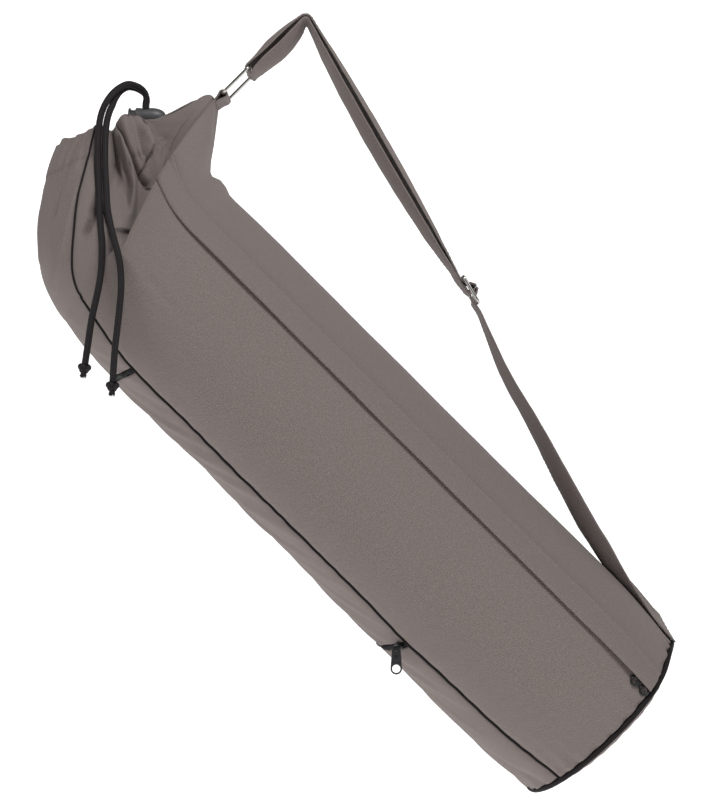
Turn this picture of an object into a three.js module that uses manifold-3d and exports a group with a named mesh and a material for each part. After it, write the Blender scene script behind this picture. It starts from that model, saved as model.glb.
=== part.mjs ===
// Drawstring yoga mat bag, hanging by its shoulder strap. Millimetres, +Z up, front towards -Y.
// The origin is the underside of the strap where it hangs. The cloth tube lies at a slant below it.
// In the bag's own frame z runs along the tube from base to mouth, x is its upper side and -y its front.
import * as THREE from "three";
import Module from "manifold-3d";
import { mergeVertices } from "three/addons/utils/BufferGeometryUtils.js";

const wasm = await Module();
wasm.setup();

// Driving sizes of the cloth tube
const TUBE_RADIUS = 95.5;
const TUBE_LENGTH = 585;
const CROWN_LENGTH = 55;
const CLOTH = 2;
const GAP = 0.3;
const SEAM_CORD = 1.6;
const HEM_START = 5;
const TILT = 45;
const BASE_REACH = 266;
const BASE_DROP = 624.3;

// Base disc and its welt
const WELT_RADIUS = 2.3;
const WELT_SHARE = 0.953;
const BASE_BULGE = 6;
const HEEL_LIFT = 9;
const HEEL_TURN = 66;
const HEEL_SPREAD = 20;
const HEEL_REACH = 0.12;
const HEEL_FADE = 6;

// Angles round the tube, in degrees from the front, positive towards the upper side
const FRONT_SEAM = -49;
const BACK_SEAM = -131;
const ZIP_ANGLE = 36;
const FLAP_LOW = 28.5;
const FLAP_HIGH = 44;
const CREASE_START = -5;

// Zips and their flap
const ZIP_WIDTH = 5;
const FLAP_RISE = 2.6;
const FLAP_FLARE = 2.4;
const FLAP_FLARE_REACH = 45;
const FLAP_TOP_RISE = 0.4;
const POCKET_ZIP_WIDTH = 6;
const LOWER_ZIP_AT = 177;
const UPPER_ZIP_BELOW_MOUTH = 74;
const POCKET_ZIP_ARCH = 12;

// Peak of cloth under the strap tab, and the gathered mouth
const PEAK_HEIGHT = 49.3;
const PEAK_REACH = 49;
const TAB_WIDTH = 38;
const MOUTH_RADIUS = 41;
const MOUTH_AHEAD = 103;
const MOUTH_ASIDE = 58;
const MOUTH_LEAN = 29.8;
const MOUTH_TAIL = 56;
const TAIL_SPREAD = 17;
const GATHERS = 12;
const GATHER_DEPTH = 5;
const GATHER_DRIFT = 7;
const COLLAR_TUCK = 13;
const TUCK_CLEAR = 1.8;
const COLLAR_HOLD = 0.12;
const COLLAR_RISE_UPPER = 6;
const COLLAR_RISE_LOWER = 57;
const COLLAR_BULGE = 5;
const COLLAR_BULGE_AT = 0.76;
const COLLAR_BULGE_SPREAD = 0.22;
const RIM_DIPS = [
  { turn: 64, spread: 15, depth: 6.5 },
  { turn: -75, spread: 25, depth: 5 },
];
const LOWER_SIDE_DRAW = 0.052;

// Strap and its metal
const STRAP_WIDTH = 38;
const STRAP_CLOTH = 2;
const HOOK_RADIUS = 2.4;
const RING_WIRE = 3;
const RING_LENGTH = 36;
const RING_INSIDE = 40;
const SLIDER_BAR = 2.6;
const SLIDER_PITCH = 13;
const SLIDER_SHARE = 0.443;
const STRAP_SEAT = 12;
const STRAP_AIM = 10;
const RING_STAND = 7;
const RING_ASIDE = 1.8;
const RING_ABOVE = 1.2;

// Drawcord and cord lock
const CORD_RADIUS = 2.9;
const LOCK_RADIUS = 9;
const LOCK_LENGTH = 27;
const LOCK_FROM_MOUTH = new THREE.Vector3(9.2, -8, 123.1);
const BUTTON_TRAVEL = 4;

// Hanging pocket pull
const PULL_LENGTH = 25;
const PULL_TOP_WIDTH = 7.6;
const PULL_END_WIDTH = 10;
const PULL_THICK = 1.6;
const PULL_HOLE_SHARE = 0.56;

const CLOTH_COLOUR = 0x7a706d;
const TRIM_COLOUR = 0x1e1b1c;
const METAL_COLOUR = 0xc9cacc;
const LOCK_COLOUR = 0x4b5051;

const cloth = new THREE.MeshStandardMaterial({ color: CLOTH_COLOUR, roughness: 0.9, metalness: 0 });
const trim = new THREE.MeshStandardMaterial({ color: TRIM_COLOUR, roughness: 0.8, metalness: 0 });
const steel = new THREE.MeshStandardMaterial({ color: METAL_COLOUR, roughness: 0.25, metalness: 1 });
const moulded = new THREE.MeshStandardMaterial({ color: LOCK_COLOUR, roughness: 0.5, metalness: 0 });

const object = new THREE.Group();
const tube = new THREE.Group();
tube.position.set(BASE_REACH, 0, -BASE_DROP);
tube.rotation.y = -THREE.MathUtils.degToRad(TILT);
object.add(tube);
tube.updateMatrixWorld(true);

const rad = THREE.MathUtils.degToRad;
const lerp = THREE.MathUtils.lerp;
const hump = (turn, centre, spread) => Math.exp(-(((turn - centre) / spread) ** 2));

function addNode(parent, name, geometry, material) {
  const mesh = new THREE.Mesh(geometry, material);
  mesh.name = name;
  parent.add(mesh);
  return mesh;
}

// Value of a table of rows { at, value } with straight lines between its rows
function along(rows, at) {
  const next = rows.findIndex((row) => row.at >= at);
  if (next === 0) {
    return rows[0].value;
  }
  if (next < 0) {
    return rows[rows.length - 1].value;
  }
  const [low, high] = [rows[next - 1], rows[next]];
  return lerp(low.value, high.value, (at - low.at) / (high.at - low.at));
}

// A block whose corners (0 to 1 each way) are moved to where the function says
function shapedBlock(acrossSteps, alongSteps, place) {
  const block = new THREE.BoxGeometry(1, 1, 1, acrossSteps, alongSteps, 1);
  const spots = block.attributes.position;
  for (let i = 0; i < spots.count; i += 1) {
    const spot = place(spots.getX(i) + 0.5, spots.getY(i) + 0.5, spots.getZ(i) + 0.5);
    spots.setXYZ(i, spot.x, spot.y, spot.z);
  }
  return block;
}

// Radius of the tube as a share of its size, by share of its length: drawn in at the base, fullest above it
const GIRTH = [
  { at: 0, value: 0.955 },
  { at: 0.05, value: 0.997 },
  { at: 0.11, value: 1.015 },
  { at: 0.19, value: 1.014 },
  { at: 0.38, value: 1.003 },
  { at: 0.5, value: 1 },
];
const girth = (height) => TUBE_RADIUS * along(GIRTH, height / TUBE_LENGTH);

// Share of the straight crease that each angle of cloth reaches, from its lower end to the strap tab
const TAB_HALF_TURN = THREE.MathUtils.radToDeg(TAB_WIDTH / 2 / TUBE_RADIUS);
const CREASE = [
  { at: CREASE_START, value: 0 },
  { at: FLAP_LOW, value: 0.46 },
  { at: FLAP_HIGH, value: 0.627 },
  { at: 90 - TAB_HALF_TURN, value: 1 },
];

const aroundTube = (turn, radius, height) =>
  new THREE.Vector3(Math.sin(rad(turn)) * radius, -Math.cos(rad(turn)) * radius, height);

// Upper edge of the tube's cloth: level on the lower side, and a straight crease up to the tab on each side
function topEdge(turn) {
  const upper = turn > CREASE_START && turn < 180 - CREASE_START;
  if (!upper) {
    const drawnIn = LOWER_SIDE_DRAW * Math.max(0, Math.cos(rad(turn + 90))) ** 2;
    return aroundTube(turn, TUBE_RADIUS * (1 - drawnIn), TUBE_LENGTH);
  }
  const mirrored = turn > 90 ? 180 - turn : turn;
  const share = along(CREASE, mirrored);
  const side = turn > 90 ? 1 : -1;
  const foot = aroundTube(CREASE_START, TUBE_RADIUS, TUBE_LENGTH);
  const peak = new THREE.Vector3(TUBE_RADIUS + PEAK_HEIGHT, -TAB_WIDTH / 2, TUBE_LENGTH + PEAK_REACH);
  const edge = foot.lerp(peak, share);
  if (share === 1) {
    edge.y = (-TAB_WIDTH / 2) * ((90 - mirrored) / TAB_HALF_TURN);
  }
  edge.y *= -side;
  return edge;
}

// Point of the tube's cloth at an angle and a height along the cloth, sunk inwards by a depth
const SHOULDER = 0.55;
const heelHump = (turn) => HEEL_LIFT * hump(turn, HEEL_TURN, HEEL_SPREAD);
function skin(turn, height, depth) {
  const crownStart = TUBE_LENGTH - CROWN_LENGTH;
  const lift = heelHump(turn) * Math.max(0, 1 - height / (TUBE_LENGTH * HEEL_REACH));
  const spot = aroundTube(turn, girth(height), height + lift);
  if (height > crownStart) {
    const edge = topEdge(turn);
    const share = (height - crownStart) / CROWN_LENGTH;
    const shoulder = aroundTube(turn, TUBE_RADIUS, lerp(crownStart, edge.z, SHOULDER));
    const low = aroundTube(turn, girth(crownStart), crownStart);
    if (share < SHOULDER) {
      spot.copy(low.lerp(shoulder, share / SHOULDER));
    } else {
      spot.copy(shoulder.lerp(edge, (share - SHOULDER) / (1 - SHOULDER)));
    }
  }
  const inwards = aroundTube(turn, -depth, 0);
  return spot.add(inwards);
}

// Heights along the cloth are given as shares of the run from the hem at the base to the upper edge
const CLOTH_RUN = TUBE_LENGTH - HEM_START;
const heightAt = (share) => HEM_START + CLOTH_RUN * share;
const shareAt = (height) => (height - HEM_START) / CLOTH_RUN;
const crownShare = shareAt(TUBE_LENGTH - CROWN_LENGTH);
const shoulderShare = shareAt(TUBE_LENGTH - CROWN_LENGTH * (1 - SHOULDER));
const ROW_SHARES = [0, 0.05, 0.11, 0.19, 0.3, 0.5, 0.7, 0.88, crownShare, shoulderShare, 0.98, 1];

// The side seams wander a little round the tube: degrees towards the front panel, by share of the run
const SEAM_WANDER = [
  { at: 0, value: 7 },
  { at: 0.11, value: 3.5 },
  { at: 0.3, value: 0 },
  { at: 0.88, value: -2 },
  { at: 1, value: 8 },
];
const frontSeam = (height) => FRONT_SEAM + along(SEAM_WANDER, shareAt(height));
const backSeam = (height) => BACK_SEAM - along(SEAM_WANDER, shareAt(height));
const turnOf = (length) => THREE.MathUtils.radToDeg(length / TUBE_RADIUS);
const SEAM_HALF = turnOf(SEAM_CORD + GAP);
const ZIP_HALF = turnOf(ZIP_WIDTH / 2);

// A panel of cloth between two side edges, each a turn for a height, and two ends, each a height for a turn.
// Between its edges it has a column of corners at each listed turn
function panel(name, sides, ends, turns, rowShares) {
  const rows = rowShares.length - 1;
  const columns = turns.length + 1;
  const geometry = shapedBlock(columns, rows, (across, up, out) => {
    const share = rowShares[Math.round(up * rows)];
    const column = Math.round(across * columns);
    const level = lerp(ends[0](FRONT_SEAM), ends[1](FRONT_SEAM), share);
    const turn = column === 0 ? sides[0](level) : column === columns ? sides[1](level) : turns[column - 1];
    return skin(turn, lerp(ends[0](turn), ends[1](turn), share), CLOTH * (1 - out));
  });
  addNode(tube, name, geometry, cloth);
}

// Pocket zips cross the side panel on a slight arch
const acrossSide = (turn) => THREE.MathUtils.clamp((FRONT_SEAM - turn) / (FRONT_SEAM - BACK_SEAM), 0, 1);
const archOf = (turn) => POCKET_ZIP_ARCH * Math.sin(Math.PI * acrossSide(turn));
const lowerZip = (offset) => (turn) => LOWER_ZIP_AT + archOf(turn) + offset;
const upperZip = (offset) => (turn) => TUBE_LENGTH - UPPER_ZIP_BELOW_MOUTH + archOf(turn) + offset;
const hem = () => HEM_START;
const top = () => TUBE_LENGTH;
const ZIP_EDGE = POCKET_ZIP_WIDTH / 2 + GAP;

function evenTurns(from, to, count) {
  return Array.from({ length: count }, (unused, i) => lerp(from, to, i / (count - 1)));
}

// Turns of the columns of corners inside each panel
const SIDE_TURNS = evenTurns(BACK_SEAM + 12, FRONT_SEAM - 12, 7);
const FRONT_TURNS = [...evenTurns(-35, CREASE_START, 4), ...evenTurns(6, FLAP_LOW, 3)];
const PEAK_TURNS = [90 - TAB_HALF_TURN, 90, 90 + TAB_HALF_TURN];
const UPPER_TURNS = [FLAP_HIGH, 56, 68, ...PEAK_TURNS, 112, 124, 180 - FLAP_HIGH, 180 - FLAP_LOW, 162, 174];
const BACK_TURNS = [...UPPER_TURNS, ...evenTurns(180 - CREASE_START, 217, 4)];
function mainCloth() {
  const frontSides = [
    (height) => frontSeam(height) + SEAM_HALF,
    () => ZIP_ANGLE - ZIP_HALF - turnOf(GAP),
  ];
  panel("front_panel", frontSides, [hem, top], FRONT_TURNS, ROW_SHARES);
  const backSides = [
    () => ZIP_ANGLE + ZIP_HALF + turnOf(GAP),
    (height) => 360 + backSeam(height) - SEAM_HALF,
  ];
  panel("back_panel", backSides, [hem, top], BACK_TURNS, ROW_SHARES);
  const side = [
    (height) => backSeam(height) + SEAM_HALF,
    (height) => frontSeam(height) - SEAM_HALF,
  ];
  panel("side_panel_lower", side, [hem, lowerZip(-ZIP_EDGE)], SIDE_TURNS, [0, 0.17, 0.385, 0.65, 1]);
  panel("side_panel_middle", side, [lowerZip(ZIP_EDGE), upperZip(-ZIP_EDGE)], SIDE_TURNS, [0, 0.33, 0.66, 1]);
  panel("side_panel_upper", side, [upperZip(ZIP_EDGE), top], SIDE_TURNS, [0, 0.22, 0.64, 1]);
}

// Zip tapes lie in the gaps between the panels
function zipTapes() {
  const tapes = [
    { name: "pocket_zip_lower", line: lowerZip },
    { name: "pocket_zip_upper", line: upperZip },
  ];
  const columns = SIDE_TURNS.length + 1;
  for (const { name, line } of tapes) {
    const height = line(0)(FRONT_SEAM);
    const turns = [backSeam(height) + SEAM_HALF, ...SIDE_TURNS, frontSeam(height) - SEAM_HALF];
    const geometry = shapedBlock(columns, 1, (across, up, out) => {
      const turn = turns[Math.round(across * columns)];
      return skin(turn, line((up - 0.5) * POCKET_ZIP_WIDTH)(turn), CLOTH * (1 - out));
    });
    addNode(tube, name, geometry, trim);
  }
  const rows = ROW_SHARES.length - 1;
  const main = shapedBlock(1, rows, (across, up, out) => {
    const height = heightAt(ROW_SHARES[Math.round(up * rows)]);
    return skin(ZIP_ANGLE + (across * 2 - 1) * ZIP_HALF, height, CLOTH * (1 - out));
  });
  addNode(tube, "main_zip_tape", main, trim);
}

// The flap over the main zip is sewn along its upper edge and stands proud along its lower edge
const flapLift = (height) => FLAP_RISE + FLAP_FLARE * hump(height, 0, FLAP_FLARE_REACH);
function zipFlap() {
  const rows = ROW_SHARES.length - 1;
  const geometry = shapedBlock(4, rows, (across, up, out) => {
    const height = lerp(HEM_START + 1, TUBE_LENGTH, ROW_SHARES[Math.round(up * rows)]);
    const crown = Math.max(0, (height - TUBE_LENGTH + CROWN_LENGTH) / CROWN_LENGTH);
    const proud = lerp(flapLift(height), FLAP_TOP_RISE, crown) * (1 - across);
    return skin(lerp(FLAP_LOW, FLAP_HIGH, across), height, -2 * GAP - proud - CLOTH * out);
  });
  addNode(tube, "zip_flap", geometry, cloth);
}

// Sliders of the main zip lie under the flap, and only their open ring pulls show below its edge
function extrudedFlat(shape, thickness, curveSegments = 6) {
  const geometry = new THREE.ExtrudeGeometry(shape, { depth: thickness, bevelEnabled: false, curveSegments });
  geometry.translate(0, 0, -thickness / 2);
  return geometry;
}

const PULL_RING_OUTSIDE = 4.8;
const PULL_RING_INSIDE = 2.9;
const PULL_STEM = 9;
const PULL_NECK = 1.5;
const PULL_CLEAR = 0.65;
const MAIN_PULLS = [
  { name: "main_zip_pull_upper", share: 0.036 },
  { name: "main_zip_pull_lower", share: 0.0165 },
];
function mainPulls() {
  for (const { name, share } of MAIN_PULLS) {
    const outline = new THREE.Shape();
    const neckTurn = Math.asin(PULL_NECK / PULL_RING_OUTSIDE);
    const [start, end] = [Math.PI / 2 + neckTurn, 2.5 * Math.PI - neckTurn];
    outline.absarc(0, 0, PULL_RING_OUTSIDE, start, end, false);
    outline.lineTo(PULL_NECK, PULL_STEM);
    outline.lineTo(-PULL_NECK, PULL_STEM);
    const eye = new THREE.Path();
    eye.absarc(0, 0, PULL_RING_INSIDE, 0, 2 * Math.PI, true);
    outline.holes.push(eye);
    const pull = extrudedFlat(outline, PULL_THICK);
    const height = TUBE_LENGTH * share;
    const turn = ZIP_ANGLE - turnOf(PULL_STEM + PULL_NECK);
    const seat = skin(turn, height, -PULL_CLEAR - PULL_THICK / 2);
    pull.rotateZ(-Math.PI / 2);
    pull.rotateX(Math.PI / 2);
    pull.rotateZ(rad(turn + turnOf(PULL_STEM / 2)));
    pull.translate(seat.x, seat.y, seat.z);
    addNode(tube, name, pull, trim);
  }
}

// A tube along a curve, closed at both ends
function tubeAlong(points, radius, sides, steps) {
  const section = new THREE.Shape();
  for (let i = 0; i < sides; i += 1) {
    const turn = (2 * Math.PI * i) / sides;
    const [x, y] = [radius * Math.cos(turn), radius * Math.sin(turn)];
    if (i === 0) {
      section.moveTo(x, y);
    } else {
      section.lineTo(x, y);
    }
  }
  const curve = new THREE.CatmullRomCurve3(points, false, "centripetal");
  return new THREE.ExtrudeGeometry(section, { steps, extrudePath: curve, bevelEnabled: false });
}

// Gathered collar: starts tucked inside the tube's upper edge and is drawn in to the open mouth
const mouthCentre = new THREE.Vector3(MOUTH_ASIDE, 0, TUBE_LENGTH + MOUTH_AHEAD);
const mouthAcross = new THREE.Vector3(Math.cos(rad(MOUTH_LEAN)), 0, -Math.sin(rad(MOUTH_LEAN)));
const mouthOut = (turn) =>
  mouthAcross.clone().multiplyScalar(Math.sin(rad(turn))).add(new THREE.Vector3(0, -Math.cos(rad(turn)), 0));

const mouthUp = new THREE.Vector3(Math.sin(rad(MOUTH_LEAN)), 0, Math.cos(rad(MOUTH_LEAN)));
const rimDip = (turn) => RIM_DIPS.reduce((sum, dip) => sum + dip.depth * hump(turn, dip.turn, dip.spread), 0);

// 1 on the lower side of the tube, where the collar starts from a level edge, and 0 on the upper side
const lowerSide = (turn) => 0.5 - 0.5 * Math.tanh((Math.sin(rad(turn)) + 0.05) * 4);

// Point of the collar at an angle and a share of its run, sunk inwards by a depth
function collar(turn, share, depth) {
  const wrapped = turn > 180 - CREASE_START ? turn - 360 : turn;
  const start = skin(wrapped, TUBE_LENGTH - COLLAR_TUCK, CLOTH + GAP + TUCK_CLEAR + depth);
  if (share <= 0) {
    return start;
  }
  const tail = hump(wrapped, 90, TAIL_SPREAD);
  const out = mouthOut(wrapped);
  const drift = GATHER_DRIFT * Math.sin(rad(2 * wrapped));
  const folds = GATHER_DEPTH * share ** 2 * Math.cos(rad(GATHERS * (wrapped + drift)));
  const rim = mouthCentre.clone().addScaledVector(out, MOUTH_RADIUS + MOUTH_TAIL * tail - depth);
  rim.addScaledVector(mouthUp, -rimDip(wrapped));
  const edge = skin(wrapped, TUBE_LENGTH, CLOTH + GAP + TUCK_CLEAR + depth);
  const rise = lerp(COLLAR_RISE_UPPER, COLLAR_RISE_LOWER, lowerSide(wrapped));
  const guide = edge.clone().add(new THREE.Vector3(0, 0, rise));
  if (share <= COLLAR_HOLD) {
    return start.lerp(edge, share / COLLAR_HOLD);
  }
  const s = (share - COLLAR_HOLD) / (1 - COLLAR_HOLD);
  const spot = edge.multiplyScalar((1 - s) ** 2);
  spot.addScaledVector(guide, 2 * s * (1 - s)).addScaledVector(rim, s ** 2);
  const bulge = COLLAR_BULGE * lowerSide(wrapped) * hump(share, COLLAR_BULGE_AT, COLLAR_BULGE_SPREAD);
  return spot.addScaledVector(out, folds * (1 - 0.8 * tail) + bulge);
}

// The wall is a closed loop of corners, up its outside and down its inside, carried round the tube
const COLLAR_ROWS = [0, COLLAR_HOLD, 0.3, 0.5, 0.7, 0.86, 1];
const COLLAR_COLUMNS = 84;
function gatheredCollar() {
  const loop = COLLAR_ROWS.map((share) => ({ share, depth: 0 }));
  loop.push(...COLLAR_ROWS.toReversed().map((share) => ({ share, depth: CLOTH })));
  loop.push(loop[0]);
  const profile = loop.map((row, i) => new THREE.Vector2(TUBE_RADIUS, i));
  const geometry = new THREE.LatheGeometry(profile, COLLAR_COLUMNS);
  const spots = geometry.attributes.position;
  for (let i = 0; i < spots.count; i += 1) {
    const { share, depth } = loop[i % loop.length];
    const column = Math.floor(i / loop.length) % COLLAR_COLUMNS;
    const spot = collar((360 * column) / COLLAR_COLUMNS, share, depth);
    spots.setXYZ(i, spot.x, spot.y, spot.z);
  }
  addNode(tube, "gathered_collar", geometry, cloth);
}

// Black seam cords run from the base to the mouth between the side panel and its neighbours
const COLLAR_SEAM = [
  { at: COLLAR_HOLD, value: 8 },
  { at: 0.22, value: 11 },
  { at: 0.35, value: 22 },
  { at: 0.5, value: 30 },
  { at: 0.67, value: 34 },
  { at: 0.87, value: 40 },
  { at: 1, value: 45 },
];
const SEAM_SINK = 0.2;
const SEAM_FOOT = 0.001;
const COLLAR_SEAM_ROWS = [0.22, 0.35, 0.5, 0.65, 0.8, 0.9, 0.97];
function sideSeams() {
  const seams = [
    { name: "side_piping_front", side: 1, middle: FRONT_SEAM, seam: frontSeam },
    { name: "side_piping_back", side: -1, middle: BACK_SEAM, seam: backSeam },
  ];
  for (const { name, side, middle, seam } of seams) {
    const heights = [SEAM_FOOT, ...ROW_SHARES.slice(1)].map(heightAt);
    const points = heights.map((height) => skin(seam(height), height, SEAM_SINK));
    for (const share of COLLAR_SEAM_ROWS) {
      points.push(collar(middle + side * along(COLLAR_SEAM, share), share, -SEAM_CORD - 5 * GAP));
    }
    addNode(tube, name, rope(points, SEAM_CORD, 6), trim);
  }
}

// A round cord with one ring of corners at each point of its route
function rope(points, radius, sides) {
  const steps = points.length - 1;
  const geometry = new THREE.CylinderGeometry(1, 1, 1, sides, steps);
  const spots = geometry.attributes.position;
  for (let i = 0; i < spots.count; i += 1) {
    const row = Math.round((0.5 + spots.getY(i)) * steps);
    const ahead = points[Math.min(steps, row + 1)].clone().sub(points[Math.max(0, row - 1)]).normalize();
    const right = new THREE.Vector3(0, 1, 0).cross(ahead).normalize();
    const up = right.clone().cross(ahead);
    const spot = points[row].clone().addScaledVector(right, radius * spots.getX(i));
    spot.addScaledVector(up, radius * spots.getZ(i));
    spots.setXYZ(i, spot.x, spot.y, spot.z);
  }
  return geometry;
}

// Round base: a slightly bulging disc inside a thick black welt
// Columns: share of the disc's radius, and share of the bulge there
const BASE_PROFILE = [
  { reach: 0, bulge: 1 },
  { reach: 0.62, bulge: 1 },
  { reach: 0.88, bulge: 0.55 },
  { reach: 1, bulge: -0.083 },
];
function roundBase() {
  const weltRing = TUBE_RADIUS * WELT_SHARE;
  const discRadius = weltRing - WELT_RADIUS - GAP;
  const face = (inwards) => ({ reach, bulge }) =>
    new THREE.Vector2(discRadius * reach, -BASE_BULGE * bulge + inwards);
  const outline = [...BASE_PROFILE.map(face(0)), ...BASE_PROFILE.toReversed().map(face(CLOTH))];
  const disc = new THREE.LatheGeometry(outline, 36).rotateX(Math.PI / 2);
  liftHeel(disc, discRadius);
  addNode(tube, "base_panel", disc, cloth);
  const welt = new THREE.TorusGeometry(weltRing, WELT_RADIUS, 6, 48);
  welt.translate(0, 0, HEM_START - WELT_RADIUS - 3 * GAP);
  liftHeel(welt, weltRing);
  addNode(tube, "base_piping", welt, trim);
}

// The strap pulls the rim of the base up towards the mouth where it is sewn on.
// Places are snapped first, so that corners meant to coincide get one and the same angle
const SNAP = 0.001;
function liftHeel(geometry, rimRadius) {
  const spots = geometry.attributes.position;
  for (let i = 0; i < spots.count; i += 1) {
    const [x, y] = [spots.getX(i), spots.getY(i)];
    const reach = Math.min(1, Math.hypot(x, y) / rimRadius) ** HEEL_FADE;
    const turn = THREE.MathUtils.radToDeg(Math.atan2(Math.round(x / SNAP), -Math.round(y / SNAP)));
    spots.setZ(i, spots.getZ(i) + heelHump(turn) * reach);
  }
}

// A flat band along a route of points in the XZ plane. Each row holds its place and its splay in degrees:
// the near edge keeps its place and the far edge swings outwards by the splay.
function band(route, width, thickness) {
  const steps = route.length - 1;
  const sideways = new THREE.Vector3(0, 1, 0);
  const frames = route.map((row, i) => {
    const before = route[Math.max(0, i - 1)].place;
    const after = route[Math.min(steps, i + 1)].place;
    const ahead = after.clone().sub(before).normalize();
    const across = sideways.clone().applyAxisAngle(ahead, rad(row.splay));
    const out = ahead.clone().cross(across);
    const centre = row.place.clone().addScaledVector(across.clone().sub(sideways), width / 2);
    return { across, out, centre };
  });
  return shapedBlock(2, steps, (u, v, w) => {
    const { across, out, centre } = frames[Math.round(v * steps)];
    const spot = centre.clone().addScaledVector(across, width * (0.5 - u));
    return spot.addScaledVector(out, thickness * (w - 0.5));
  });
}

// Anchor points of the strap in the object's frame
const inObject = (x, height) => new THREE.Vector3(x, 0, height).applyMatrix4(tube.matrixWorld);
const peakTop = inObject(TUBE_RADIUS + PEAK_HEIGHT, TUBE_LENGTH + PEAK_REACH);
const tubeUp = inObject(1, 0).sub(inObject(0, 0));
const ringFoot = peakTop.clone().addScaledVector(tubeUp, RING_STAND);
ringFoot.add(new THREE.Vector3(RING_ASIDE, 0, RING_ABOVE));
const ringHead = ringFoot.clone().addScaledVector(tubeUp, RING_LENGTH - RING_WIRE);
const SEAT_STAND = 0.7;
const SEAT_ABOVE = 1.8;
const mouthAt = inObject(0, TUBE_LENGTH);
const seat = inObject(girth(STRAP_SEAT) + SEAT_STAND + STRAP_CLOTH / 2, STRAP_SEAT + SEAT_ABOVE);

const apexHeight = STRAP_CLOTH + GAP / 2;
const bendRadius = HOOK_RADIUS + apexHeight;
const bendCentre = new THREE.Vector3(0, 0, apexHeight - bendRadius);
const outwardOf = (ahead) => ahead.clone().cross(new THREE.Vector3(0, 1, 0));

// The two layers lie either side of one middle line from the ring over the hook to the strap slider
const leftAhead = bendCentre.clone().sub(ringHead).normalize();
const leftOut = outwardOf(leftAhead);
const leftEnd = bendCentre.clone().addScaledVector(leftOut, bendRadius);
const rightAhead = seat.clone().sub(bendCentre).add(new THREE.Vector3(-STRAP_AIM, 0, 0)).normalize();
const rightOut = outwardOf(rightAhead);
const rightStart = bendCentre.clone().addScaledVector(rightOut, bendRadius);
const rightLength = seat.distanceTo(rightStart);
const sliderAt = rightStart.clone().addScaledVector(rightAhead, rightLength * SLIDER_SHARE);
const halfBar = SLIDER_BAR / 2;
const loopRadius = halfBar * Math.SQRT2 + GAP + STRAP_CLOTH / 2;
const sliderPlane = STRAP_CLOTH + GAP * 1.5 + halfBar;
sliderAt.addScaledVector(rightOut, sliderPlane);

// Heights of the two layers above the slider's plane, by distance before (-) or after its middle bar
const underBar = -(halfBar + GAP + STRAP_CLOTH / 2);
const overLoop = loopRadius + STRAP_CLOTH + GAP * 1.3;
const SLIDER_LEAD = 12;
const BAR_EASE = 1.5;
const LOOP_HALF = 2.5;
const SLIDING = [
  { at: -SLIDER_PITCH - SLIDER_LEAD, value: underBar },
  { at: -SLIDER_PITCH + BAR_EASE, value: underBar },
  { at: -LOOP_HALF, value: overLoop },
  { at: 0, value: overLoop + GAP },
  { at: LOOP_HALF, value: overLoop },
  { at: SLIDER_PITCH - BAR_EASE, value: underBar },
  { at: SLIDER_PITCH + SLIDER_LEAD, value: underBar },
];

const OUTER_SPLAY = 19;
const INNER_SPLAY = -8;
const splayShape = (share) => Math.sin(Math.PI * THREE.MathUtils.clamp(share, 0, 1)) ** 0.6;

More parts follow.
